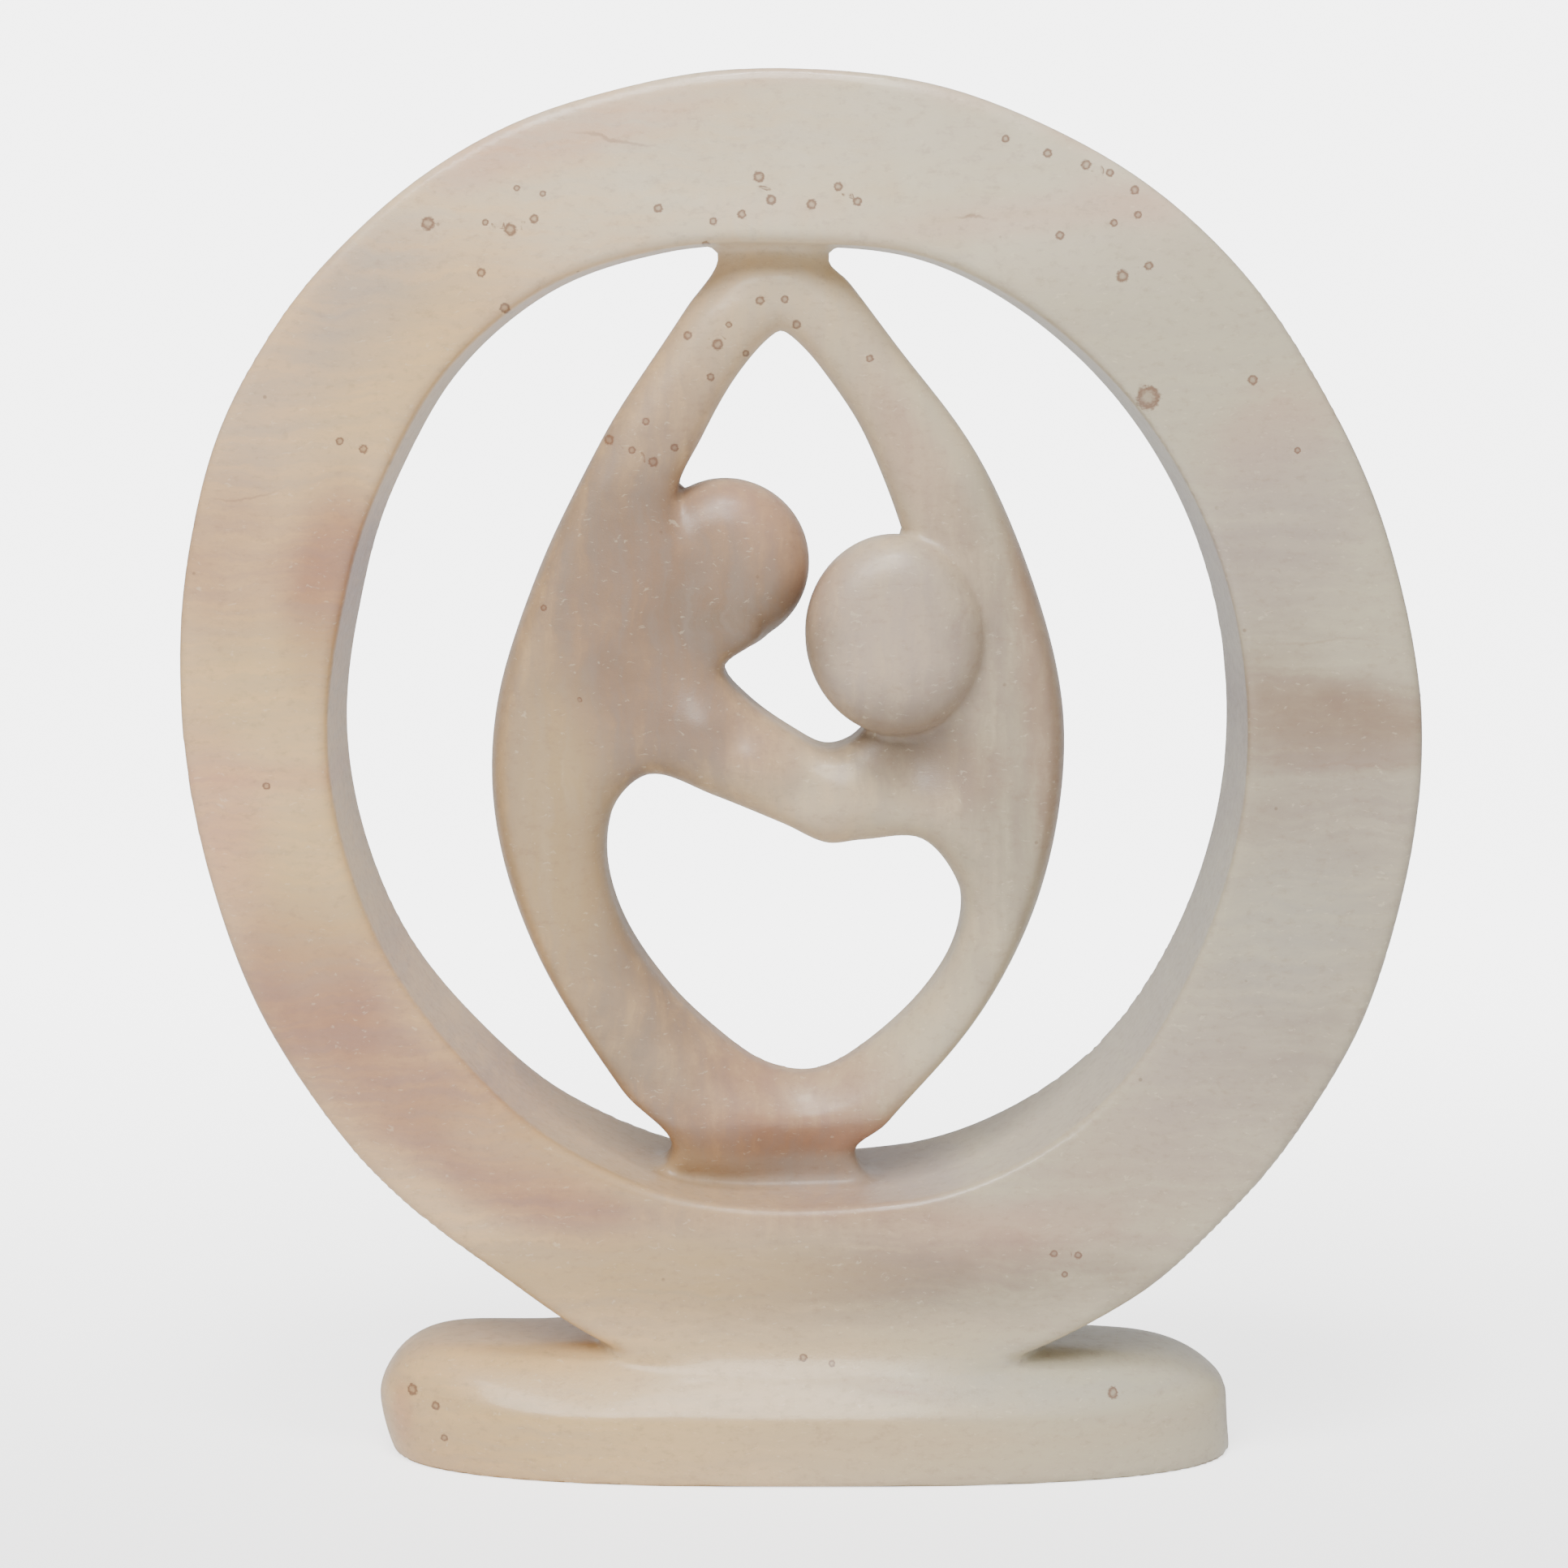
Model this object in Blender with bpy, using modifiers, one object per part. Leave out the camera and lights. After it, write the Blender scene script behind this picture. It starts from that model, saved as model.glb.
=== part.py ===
"""A soapstone carving, cut from one block: two embracing figures in a standing oval ring, on an oval foot.

Metres, +Z up, the front towards -Y. The origin is on the ground, under the middle of the ring.
The outlines of the ring and of the figures are closed curves through a few points. The ring's are
shares of its own half width and height, and the figures' are shares of the height of the hole they
stand in, so the carving keeps its pose at any size.
"""

import math

import bmesh
import bpy
import numpy as np

# The whole carving
OVERALL_HEIGHT = 0.254
RING_WIDTH = 0.2225

# The foot: an oval drum with a crowned top
FOOT_LENGTH = 0.159
FOOT_DEPTH = 0.0534
FOOT_WALL = 0.0122
FOOT_RISE = 0.0108
FOOT_OFFSET = 0.0008

# The foot's top falls this much from front to back, as a share of the foot's depth, and its left end
# tucks in this much at the ground
FOOT_TOP_FALL = 0.065
FOOT_LEFT_TUCK = 0.0026

# The ring: how thick it is round its hole, and from front to back
RIM_LEFT = 0.0265
RIM_RIGHT = 0.0315
RIM_TOP = 0.0304
RIM_BOTTOM = 0.0342
RING_SINK = 0.0041
RING_DEPTH_TOP = 0.030
RING_DEPTH_BOTTOM = 0.037

# The hole's floor falls this much from back to front, up to this share of the hole's height. Its wall
# is looked for within an oval that is this much larger than the hole.
FLOOR_TILT = 0.0025
FLOOR_TILT_SHARE = 0.35
HOLE_OVAL_SHARE = 1.1

# The figures, from front to back
BODY_DEPTH = 0.027
HEAD_DEPTH = 0.023

# The foot's plan and crown, as the powers of their curves
FOOT_PLAN_POWER = 2.55
CROWN_POWERS = {"sides": 6.0, "left end": 17.0, "right end": 5.6}

# The ring's outside: shares of its half width, and of its height above its lowest point
RING_OUTLINE = (
    (1.000, 0.513),
    (0.950, 0.635),
    (0.849, 0.747),
    (0.702, 0.849),
    (0.502, 0.929),
    (0.260, 0.980),
    (0.000, 1.000),
    (-0.269, 0.987),
    (-0.524, 0.943),
    (-0.739, 0.864),
    (-0.901, 0.760),
    (-0.986, 0.638),
    (-0.999, 0.513),
    (-0.961, 0.390),
    (-0.869, 0.273),
    (-0.722, 0.168),
    (-0.517, 0.085),
    (-0.260, 0.012),
    (0.250, 0.000),
    (0.537, 0.056),
    (0.751, 0.152),
    (0.903, 0.264),
    (0.981, 0.388),
)

# The hole's edge: shares of its half width, and of its height above its lowest point
HOLE_OUTLINE = (
    (1.003, 0.500),
    (0.966, 0.626),
    (0.869, 0.744),
    (0.714, 0.850),
    (0.509, 0.935),
    (0.263, 0.988),
    (-0.020, 1.000),
    (-0.275, 0.992),
    (-0.534, 0.949),
    (-0.748, 0.860),
    (-0.882, 0.748),
    (-0.959, 0.643),
    (-1.003, 0.500),
    (-0.977, 0.373),
    (-0.885, 0.253),
    (-0.725, 0.148),
    (-0.510, 0.055),
    (-0.200, -0.006),
    (0.250, -0.007),
    (0.533, 0.041),
    (0.758, 0.133),
    (0.897, 0.248),
    (0.981, 0.371),
)

# The figures' outside: shares of the hole's height, across from its middle and up from its floor
FIGURES_OUTLINE = (
    (-0.109, 1.050),
    (-0.091, 0.982),
    (-0.121, 0.933),
    (-0.211, 0.796),
    (-0.280, 0.657),
    (-0.326, 0.518),
    (-0.328, 0.377),
    (-0.284, 0.235),
    (-0.195, 0.091),
    (-0.141, 0.029),
    (-0.179, -0.042),
    (0.089, -0.042),
    (0.058, 0.021),
    (0.095, 0.055),
    (0.210, 0.198),
    (0.268, 0.341),
    (0.283, 0.482),
    (0.255, 0.622),
    (0.197, 0.761),
    (0.098, 0.898),
    (0.050, 0.961),
    (0.030, 0.984),
    (0.050, 1.050),
)

# The gap under the raised arms and between the chests, behind the heads
CHEST_GAP = (
    (-0.025, 0.908),
    (-0.067, 0.864),
    (-0.106, 0.796),
    (-0.133, 0.734),
    (-0.109, 0.682),
    (-0.043, 0.590),
    (-0.083, 0.552),
    (-0.057, 0.517),
    (-0.005, 0.481),
    (0.029, 0.466),
    (0.060, 0.479),
    (0.109, 0.543),
    (0.120, 0.623),
    (0.110, 0.692),
    (0.069, 0.796),
    (0.023, 0.865),
    (-0.008, 0.900),
)

# The heart under the embracing arms
HEART_GAP = (
    (-0.094, 0.415),
    (-0.160, 0.438),
    (-0.199, 0.406),
    (-0.211, 0.345),
    (-0.192, 0.275),
    (-0.145, 0.203),
    (-0.092, 0.151),
    (-0.040, 0.117),
    (0.012, 0.109),
    (0.064, 0.134),
    (0.128, 0.190),
    (0.165, 0.250),
    (0.171, 0.310),
    (0.131, 0.367),
    (0.065, 0.367),
    (0.027, 0.364),
    (-0.017, 0.383),
)

# Heads: across, up, half width and half height as shares of the hole's height, and how far back
# the middle lies as a share of the body's depth
HEAD_SHARES = {
    "left": (-0.081, 0.664, 0.0900, 0.0900, 0.14),
    "right": (0.100, 0.589, 0.0975, 0.1072, -0.20),
}

# How deep the figures are at heights above the hole's floor, as shares of the hole's height and of
# the body's depth: they stand on a narrow keel and thin out again at the raised hands
DEPTH_BY_HEIGHT = (
    (0.00, 0.55),
    (0.03, 0.60),
    (0.08, 0.92),
    (0.30, 1.00),
    (0.70, 0.94),
    (0.94, 0.80),
    (0.99, 0.55),
)

# Soft forms carved on the figures: across, up and reach as shares of the hole's height, and how far
# they stand out (or, below nothing, sink in) as a share of the body's depth
SOFT_FORM_SHARES = {
    "left upper arm": (-0.107, 0.474, 0.045, 0.06),
    "left forearm": (-0.055, 0.454, 0.045, 0.05),
    "meeting of the hands": (-0.005, 0.422, 0.022, -0.05),
    "right forearm": (0.045, 0.416, 0.055, 0.07),
    "right throat": (0.124, 0.479, 0.050, -0.12),
    "right shoulder": (0.203, 0.563, 0.040, -0.05),
    "left throat": (-0.124, 0.563, 0.045, -0.05),
}

# How the block is worked: the figures' edges are rounded this far in, and the raw joints are melted
# into each other with a fine remesh and a few passes of smoothing
EDGE_ROUNDING = 0.0105
LEAST_EDGE_SHARE = 0.20
WORKING_GRID = 0.0014
SMOOTHING_PASSES = 5
MOST_TRIANGLES = 8600
CURVE_STEPS = 6
CROWN_STEPS = 24
TURNING_STEPS = 96
BELOW_GROUND = 0.006
CUTTER_MARGIN = 0.05

FOOT_TOP = FOOT_WALL + FOOT_RISE
RING_BOTTOM = FOOT_TOP - RING_SINK
RING_HEIGHT = OVERALL_HEIGHT - RING_BOTTOM
HOLE_FLOOR = RING_BOTTOM + RIM_BOTTOM
HOLE_HEIGHT = OVERALL_HEIGHT - RIM_TOP - HOLE_FLOOR
HOLE_WIDTH = RING_WIDTH - RIM_LEFT - RIM_RIGHT
HOLE_MIDDLE = (RIM_LEFT - RIM_RIGHT) / 2
STONE_COLOUR = (0.62, 0.55, 0.46, 1.0)


def clear_scene():
    for thing in list(bpy.data.objects):
        bpy.data.objects.remove(thing, do_unlink=True)


def new_collection(name):
    collection = bpy.data.collections.new(name)
    bpy.context.scene.collection.children.link(collection)
    return collection


def polished_stone():
    material = bpy.data.materials.new("Polished soapstone")
    material.use_nodes = True
    shader = material.node_tree.nodes["Principled BSDF"]
    shader.inputs["Base Color"].default_value = STONE_COLOUR
    shader.inputs["Roughness"].default_value = 0.32
    shader.inputs["Metallic"].default_value = 0.0
    return material


def add_object(name, mesh, collection):
    thing = bpy.data.objects.new(name, mesh)
    collection.objects.link(thing)
    return thing


def baked(thing, name, collection):
    """A plain mesh object of what this object looks like with its modifiers, in place of it."""
    bpy.context.view_layer.update()
    graph = bpy.context.evaluated_depsgraph_get()
    mesh = bpy.data.meshes.new_from_object(thing.evaluated_get(graph))
    mesh.transform(thing.matrix_world)
    shape = bmesh.new()
    shape.from_mesh(mesh)
    bmesh.ops.remove_doubles(shape, verts=shape.verts, dist=1e-6)
    shape.to_mesh(mesh)
    shape.free()
    bpy.data.objects.remove(thing, do_unlink=True)
    return add_object(name, mesh, collection)


def slab(name, outlines, half_depth, collection):
    """An upright slab with these closed outlines, the first its outside and the others its holes."""
    curve = bpy.data.curves.new(name, "CURVE")
    curve.dimensions = "2D"
    curve.fill_mode = "BOTH"
    curve.resolution_u = CURVE_STEPS
    curve.extrude = half_depth
    for outline in outlines:
        spline = curve.splines.new("BEZIER")
        spline.use_cyclic_u = True
        spline.bezier_points.add(len(outline) - 1)
        for knot, (across, up) in zip(spline.bezier_points, outline):
            knot.co = (across, up, 0.0)
            knot.handle_left_type = "AUTO"
            knot.handle_right_type = "AUTO"
    thing = add_object(name, curve, collection)
    thing.rotation_euler.x = math.radians(90)
    return baked(thing, name, collection)


def remeshed(thing, grid, collection):
    remesh = thing.modifiers.new("Remesh", "REMESH")
    remesh.mode = "VOXEL"
    remesh.voxel_size = grid
    return baked(thing, thing.name, collection)


def points_of(mesh):
    flat = np.empty(len(mesh.vertices) * 3)
    mesh.vertices.foreach_get("co", flat)
    return flat.reshape(-1, 3)


def set_points(mesh, points):
    mesh.vertices.foreach_set("co", points.ravel())
    mesh.update()


def ring_slab(collection):
    """The ring: thicker from front to back at its foot than at its top."""
    outside = [
        (across * RING_WIDTH / 2, RING_BOTTOM + up * RING_HEIGHT) for across, up in RING_OUTLINE
    ]
    hole = [
        (HOLE_MIDDLE + across * HOLE_WIDTH / 2, HOLE_FLOOR + up * HOLE_HEIGHT)
        for across, up in HOLE_OUTLINE
    ]
    ring = slab("Ring", [outside, hole], RING_DEPTH_BOTTOM / 2, collection)
    points = points_of(ring.data)
    across = (points[:, 0] - HOLE_MIDDLE) / (HOLE_WIDTH / 2)
    above_floor = (points[:, 2] - HOLE_FLOOR) / HOLE_HEIGHT
    in_hole = across**2 + (2 * above_floor - 1) ** 2 < HOLE_OVAL_SHARE
    tilt = FLOOR_TILT * np.clip(1 - above_floor / FLOOR_TILT_SHARE, 0, 1)
    points[in_hole, 2] += (tilt * points[:, 1] / RING_DEPTH_BOTTOM)[in_hole]
    height = (points[:, 2] - RING_BOTTOM) / RING_HEIGHT
    points[:, 1] *= 1 + (RING_DEPTH_TOP / RING_DEPTH_BOTTOM - 1) * height
    set_points(ring.data, points)
    return ring


def foot_drum(collection):
    """The foot: half of its section turned into a round drum, then stretched to an oval plan."""
    crown = [(math.sin(math.pi / 2 * i / CROWN_STEPS), FOOT_TOP) for i in range(CROWN_STEPS + 1)]
    section = [*crown, (1.0, -BELOW_GROUND), (0.0, -BELOW_GROUND)]
    mesh = bpy.data.meshes.new("Foot")
    mesh.from_pydata(
        [(radius, 0.0, height) for radius, height in section],
        [(i, i + 1) for i in range(len(section) - 1)],
        [],
    )
    drum = add_object("Foot", mesh, collection)
    turn = drum.modifiers.new("Turn", "SCREW")
    turn.steps = TURNING_STEPS
    turn.render_steps = TURNING_STEPS
    turn.use_merge_vertices = True
    turn.merge_threshold = 1e-6
    drum = baked(drum, "Foot", collection)
    points = points_of(drum.data)
    angle = np.arctan2(points[:, 1], points[:, 0])
    top = points[:, 2] > 0
    end = np.where(points[:, 0] < 0, CROWN_POWERS["left end"], CROWN_POWERS["right end"])
    bend = CROWN_POWERS["sides"] + (end - CROWN_POWERS["sides"]) * np.cos(angle) ** 2
    share = np.clip(np.hypot(points[:, 0], points[:, 1]), 0, 1)
    points[top, 2] = (FOOT_WALL + FOOT_RISE * (1 - share**bend))[top]
    power = FOOT_PLAN_POWER
    reach = (np.abs(np.cos(angle)) ** power + np.abs(np.sin(angle)) ** power) ** (-1 / power)
    tucked = np.where(~top & (points[:, 0] < 0), FOOT_LEFT_TUCK, 0)
    points[:, 0] = FOOT_OFFSET + points[:, 0] * reach * (FOOT_LENGTH / 2 - tucked)
    points[:, 1] *= reach * FOOT_DEPTH / 2
    points[top, 2] -= (FOOT_TOP_FALL * points[:, 1] * (1 - share**2))[top]
    set_points(drum.data, points)
    return drum


def edge_points(outlines, spacing):
    """Points along closed outlines, no further apart than the spacing."""
    found = []
    for outline in outlines:
        ends = np.roll(outline, -1, axis=0)
        for start, end in zip(outline, ends):
            count = max(1, math.ceil(np.linalg.norm(end - start) / spacing))
            found.append(start + (end - start) * np.arange(count)[:, None] / count)
    return np.concatenate(found)


def nearest(points, others):
    """Distance from each point to the nearest of the others."""
    found = np.empty(len(points))
    for first in range(0, len(points), 2000):
        part = points[first : first + 2000]
        gaps = part[:, None, :] - others[None, :, :]
        found[first : first + 2000] = np.sqrt((gaps**2).sum(axis=2).min(axis=1))
    return found


def figures_slab(collection):
    """The two bodies with their arms: one slab with two gaps, its section rounded from every edge."""

    def placed(outline):
        return [(across * HOLE_HEIGHT, HOLE_FLOOR + up * HOLE_HEIGHT) for across, up in outline]

    outlines = [placed(FIGURES_OUTLINE), placed(CHEST_GAP), placed(HEART_GAP)]
    raw = slab("Figures", outlines, BODY_DEPTH / 2, collection)
    loops = [np.array(loop) for loop in boundary_loops(raw.data)]
    edges = edge_points(loops, WORKING_GRID / 2)
    figures = remeshed(raw, WORKING_GRID, collection)
    points = points_of(figures.data)
    inset = nearest(points[:, [0, 2]], edges) / EDGE_ROUNDING
    rounding = np.sqrt(1 - (1 - np.clip(inset, 0, 1)) ** 2)
    above_floor = (points[:, 2] - HOLE_FLOOR) / HOLE_HEIGHT
    waist = np.interp(above_floor, *zip(*DEPTH_BY_HEIGHT))
    points[:, 1] *= waist * (LEAST_EDGE_SHARE + (1 - LEAST_EDGE_SHARE) * rounding)
    for across, up, reach, swell in SOFT_FORM_SHARES.values():
        away = (points[:, 0] - across * HOLE_HEIGHT) ** 2
        away += (points[:, 2] - HOLE_FLOOR - up * HOLE_HEIGHT) ** 2
        share = np.exp(-away / (reach * HOLE_HEIGHT) ** 2)
        points[:, 1] += np.sign(points[:, 1]) * rounding * share * swell * BODY_DEPTH
    set_points(figures.data, points)
    return figures


def boundary_loops(mesh):
    """The outlines of a slab's front face, as lists of (across, up) in order."""
    shape = bmesh.new()
    shape.from_mesh(mesh)
    front = {v for v in shape.verts if v.co.y < 0}
    rim = [
        edge
        for edge in shape.edges
        if set(edge.verts) <= front and any(not set(f.verts) <= front for f in edge.link_faces)
    ]
    beside = {}
    for edge in rim:
        first, second = edge.verts
        beside.setdefault(first, []).append(second)
        beside.setdefault(second, []).append(first)
    loops = []
    left = set(beside)
    while left:
        corner = min(left, key=lambda v: v.index)
        loop = []
        while corner in left:
            left.discard(corner)
            loop.append((corner.co.x, corner.co.z))
            corner = next((v for v in beside[corner] if v in left), corner)
        loops.append(loop)
    shape.free()
    return loops


def head_ball(name, place, collection):
    """One head: a ball a little flattened from front to back."""
    across, up, half_width, half_height, back = place
    shape = bmesh.new()
    bmesh.ops.create_uvsphere(shape, u_segments=48, v_segments=24, radius=1.0)
    mesh = bpy.data.meshes.new(name)
    shape.to_mesh(mesh)
    shape.free()
    ball = add_object(name, mesh, collection)
    ball.scale = (half_width * HOLE_HEIGHT, HEAD_DEPTH / 2, half_height * HOLE_HEIGHT)
    ball.location = (across * HOLE_HEIGHT, back * BODY_DEPTH, HOLE_FLOOR + up * HOLE_HEIGHT)
    return baked(ball, name, collection)


def joined(name, things, collection):
    """One object that holds the meshes of all these, still as separate shells."""
    shape = bmesh.new()
    for thing in things:
        shape.from_mesh(thing.data)
        bpy.data.objects.remove(thing, do_unlink=True)
    mesh = bpy.data.meshes.new(name)
    shape.to_mesh(mesh)
    shape.free()
    return add_object(name, mesh, collection)


def ground_cutter(collection):
    """A block whose top is the ground. It cuts the foot flat."""
    shape = bmesh.new()
    bmesh.ops.create_cube(shape, size=1.0)
    mesh = bpy.data.meshes.new("Ground cutter")
    shape.to_mesh(mesh)
    shape.free()
    block = add_object("Ground cutter", mesh, collection)
    block.scale = (RING_WIDTH + CUTTER_MARGIN, FOOT_DEPTH + CUTTER_MARGIN, CUTTER_MARGIN)
    block.location.z = -CUTTER_MARGIN / 2
    block.hide_render = True
    block.display_type = "WIRE"
    return block


def main():
    clear_scene()
    carving_parts = new_collection("Embracing couple")
    cutters = new_collection("Cutters")
    cutters.hide_render = True
    shells = [ring_slab(carving_parts), foot_drum(carving_parts), figures_slab(carving_parts)]
    for side, place in HEAD_SHARES.items():
        shells.append(head_ball(f"{side} head", place, carving_parts))
    carving = joined("embracing_couple", shells, carving_parts)
    carving = remeshed(carving, WORKING_GRID, carving_parts)
    polish = carving.modifiers.new("Polish", "SMOOTH")
    polish.factor = 0.5
    polish.iterations = SMOOTHING_PASSES
    carving = baked(carving, "embracing_couple", carving_parts)
    carving.data.calc_loop_triangles()
    thin = carving.modifiers.new("Fewer faces", "DECIMATE")
    thin.ratio = min(1.0, MOST_TRIANGLES / len(carving.data.loop_triangles))
    level = carving.modifiers.new("Flat underside", "BOOLEAN")
    level.operation = "DIFFERENCE"
    level.solver = "EXACT"
    level.object = ground_cutter(cutters)
    carving.data.materials.append(polished_stone())
    carving.data.shade_smooth()


main()
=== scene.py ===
import logging
import math
from dataclasses import dataclass, field
from enum import Enum

import bpy
import numpy as np
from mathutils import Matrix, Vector


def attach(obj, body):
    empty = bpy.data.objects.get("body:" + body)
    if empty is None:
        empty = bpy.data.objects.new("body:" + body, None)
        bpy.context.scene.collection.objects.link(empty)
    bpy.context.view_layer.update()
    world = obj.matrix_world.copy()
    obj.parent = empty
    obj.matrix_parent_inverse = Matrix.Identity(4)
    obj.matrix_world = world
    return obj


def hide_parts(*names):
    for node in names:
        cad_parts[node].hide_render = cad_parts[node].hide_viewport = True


"""The looks of a soapstone carving: two embracing figures in a standing oval ring, on an oval foot.

The stone is one block worked through, with limbs that melt into the ring and gaps between them, so no
grid of two parameters covers it. Its form is a distance field instead: a formula that is below nothing
inside the stone, worked out as whole arrays from outlines and roundings, and its zero surface is the
mesh. Lengths inside the carving are millimetres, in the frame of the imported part: the origin on the
ground under the middle of the ring, +Z up, the front towards -Y.
"""

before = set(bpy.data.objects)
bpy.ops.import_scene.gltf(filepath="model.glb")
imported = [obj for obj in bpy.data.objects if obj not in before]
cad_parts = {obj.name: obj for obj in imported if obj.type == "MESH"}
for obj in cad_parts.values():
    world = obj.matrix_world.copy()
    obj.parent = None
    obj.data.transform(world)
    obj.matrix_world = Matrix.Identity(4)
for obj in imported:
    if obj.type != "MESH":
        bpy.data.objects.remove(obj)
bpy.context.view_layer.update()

LOG = logging.getLogger("carving")
MILLIMETRE = 0.001
Array = np.ndarray
Pair = tuple[float, float]
Colour = tuple[float, float, float]
Place = tuple[float, float, float]


def smooth_greater(first: Array, second: Array, blend: float | Array) -> Array:
    """The greater of two fields, with the crease between them rounded off.

    The greater, plus a quarter of the squared overlap of the two within the blend, over the blend.

    Args:
        first, second: the two fields.
        blend: how near the two have to be before the crease is rounded.

    Returns:
        The blended field.
    """
    overlap = np.maximum(blend - np.abs(first - second), 0)
    return np.maximum(first, second) + overlap**2 / (4 * blend)


def rounded_edge(
    first: Array, second: Array, radius: float | Array, power: float | Array = 2.0
) -> Array:
    """What lies inside both of two forms, with the edge between them rounded by a radius.

    Both distances are measured to a form shrunk by the radius; outside both, the distance is to the
    edge of the shrunk form, and the radius is taken off again. The two are added as powers: 2 gives a
    round edge, and less gives a flatter one with a crease at each side.

    Args:
        first, second: signed distances to the two forms.
        radius: the edge's radius.
        power: the power that the two are added as.

    Returns:
        The signed distance to the rounded form.
    """
    inner_first = first + radius
    inner_second = second + radius
    inside = np.minimum(np.maximum(inner_first, inner_second), 0)
    beyond_first, beyond_second = np.maximum(inner_first, 0), np.maximum(inner_second, 0)
    if np.isscalar(power) and power == 2.0:
        return inside + np.hypot(beyond_first, beyond_second) - radius
    total = (beyond_first**power + beyond_second**power + 1e-12) ** (1 / power)
    return inside + total - radius


def filled_joint(first: Array, second: Array, radius: float | Array) -> Array:
    """What lies inside either of two forms, with the corner between them filled by a radius.

    Args:
        first, second: signed distances to the two forms.
        radius: the fillet's radius.

    Returns:
        The signed distance to the joined form.
    """
    near_first = np.maximum(radius - first, 0)
    near_second = np.maximum(radius - second, 0)
    return np.maximum(radius, np.minimum(first, second)) - np.hypot(near_first, near_second)


def stepped(value: Array, low: float, high: float) -> Array:
    """A smooth step: 0 below low, 1 above high, and 3t^2 - 2t^3 between them."""
    share = np.clip((value - low) / (high - low), 0, 1)
    return share * share * (3 - 2 * share)


@dataclass(frozen=True)
class Outline:
    """A closed smooth line through a few points in the plane of the ring, in millimetres."""

    knots: tuple[Pair, ...]
    steps: int = 8
    batch: int = 4000

    def line(self) -> Array:
        """Points along the closed curve.

        Between two knots the curve is a cubic whose slope at each knot is that of the chord between
        its neighbours, scaled by the length of the stretch (a cardinal spline on chord lengths).

        Returns:
            An array of (across, up), a few points for each knot.
        """
        knots = np.array(self.knots)
        after = np.roll(knots, -1, axis=0)
        length_before = np.linalg.norm(knots - np.roll(knots, 1, axis=0), axis=1)[:, None]
        length_after = np.roll(length_before, -1, axis=0)
        slope = (after - np.roll(knots, 1, axis=0)) / (length_before + length_after)
        slope_end = np.roll(slope, -1, axis=0)
        share = (np.arange(self.steps) / self.steps)[None, :, None]
        start, end = knots[:, None, :], after[:, None, :]
        leave, arrive = (slope * length_after)[:, None, :], (slope_end * length_after)[:, None, :]
        curve = (
            (2 * share**3 - 3 * share**2 + 1) * start
            + (share**3 - 2 * share**2 + share) * leave
            + (3 * share**2 - 2 * share**3) * end
            + (share**3 - share**2) * arrive
        )
        return curve.reshape(-1, 2)

    def signed_distance(self, across: Array, up: Array) -> Array:
        """How far each point lies from the curve, below nothing inside it.

        The nearest point of each straight piece is found by its share along the piece, and a point is
        inside where a ray to the right crosses the curve an odd number of times.

        Args:
            across, up: flat arrays of the points.

        Returns:
            A flat array of signed distances.
        """
        line = self.line().astype(np.float32)
        start, run = line, np.roll(line, -1, axis=0) - line
        squared = (run**2).sum(axis=1)
        found = np.empty(len(across), np.float32)
        for first in range(0, len(across), self.batch):
            taken = slice(first, first + self.batch)
            x = across[taken, None].astype(np.float32) - start[None, :, 0]
            z = up[taken, None].astype(np.float32) - start[None, :, 1]
            share = np.clip((x * run[:, 0] + z * run[:, 1]) / squared, 0, 1)
            near = (x - share * run[:, 0]) ** 2 + (z - share * run[:, 1]) ** 2
            crosses = (z < 0) != (z < run[:, 1])
            right = x * run[:, 1] < z * run[:, 0]
            right = np.where(run[:, 1] > 0, right, ~right & (run[:, 1] != 0))
            inside = (crosses & right).sum(axis=1) % 2 == 1
            gap = np.sqrt(near.min(axis=1))
            found[taken] = np.where(inside, -gap, gap)
        return found


@dataclass
class PlanMap:
    """Fields of the plane of the ring on a fine square grid, read back smoothly at any point."""

    low: Pair
    high: Pair
    pitch: float
    layers: dict[str, Array] = field(default_factory=dict)
    shape: tuple[int, int] = (0, 0)

    def nodes(self) -> tuple[Array, Array]:
        """The grid's points, as flat arrays of across and up."""
        across = np.arange(self.low[0], self.high[0] + self.pitch, self.pitch)
        up = np.arange(self.low[1], self.high[1] + self.pitch, self.pitch)
        self.shape = (len(across), len(up))
        grid = np.meshgrid(across, up, indexing="ij")
        return grid[0].ravel(), grid[1].ravel()

    def keep(self, name: str, values: Array) -> None:
        """Stores one field, given at nodes(), under a name."""
        self.layers[name] = values.reshape(self.shape).astype(np.float64)

    def read(self, name: str, across: Array, up: Array) -> Array:
        """A field between its nodes, by a quadratic spline over the nearest nine.

        With t the distance from the nearest node in steps, the three weights each way are
        (0.5 - t)^2 / 2, 0.75 - t^2 and (0.5 + t)^2 / 2.

        Args:
            name: which field.
            across, up: arrays of points.

        Returns:
            The field there, with a slope that has no jumps.
        """
        layer = self.layers[name]
        column = (across - self.low[0]) / self.pitch
        row = (up - self.low[1]) / self.pitch
        near_column = np.clip(np.rint(column).astype(int), 1, self.shape[0] - 2)
        near_row = np.clip(np.rint(row).astype(int), 1, self.shape[1] - 2)
        t, s = np.clip(column - near_column, -1, 1), np.clip(row - near_row, -1, 1)
        weights_t = ((0.5 - t) ** 2 / 2, 0.75 - t**2, (0.5 + t) ** 2 / 2)
        weights_s = ((0.5 - s) ** 2 / 2, 0.75 - s**2, (0.5 + s) ** 2 / 2)
        total = np.zeros(np.broadcast(across, up).shape)
        for i, weight_t in enumerate(weights_t):
            for j, weight_s in enumerate(weights_s):
                total += weight_t * weight_s * layer[near_column + i - 1, near_row + j - 1]
        return total


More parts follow.
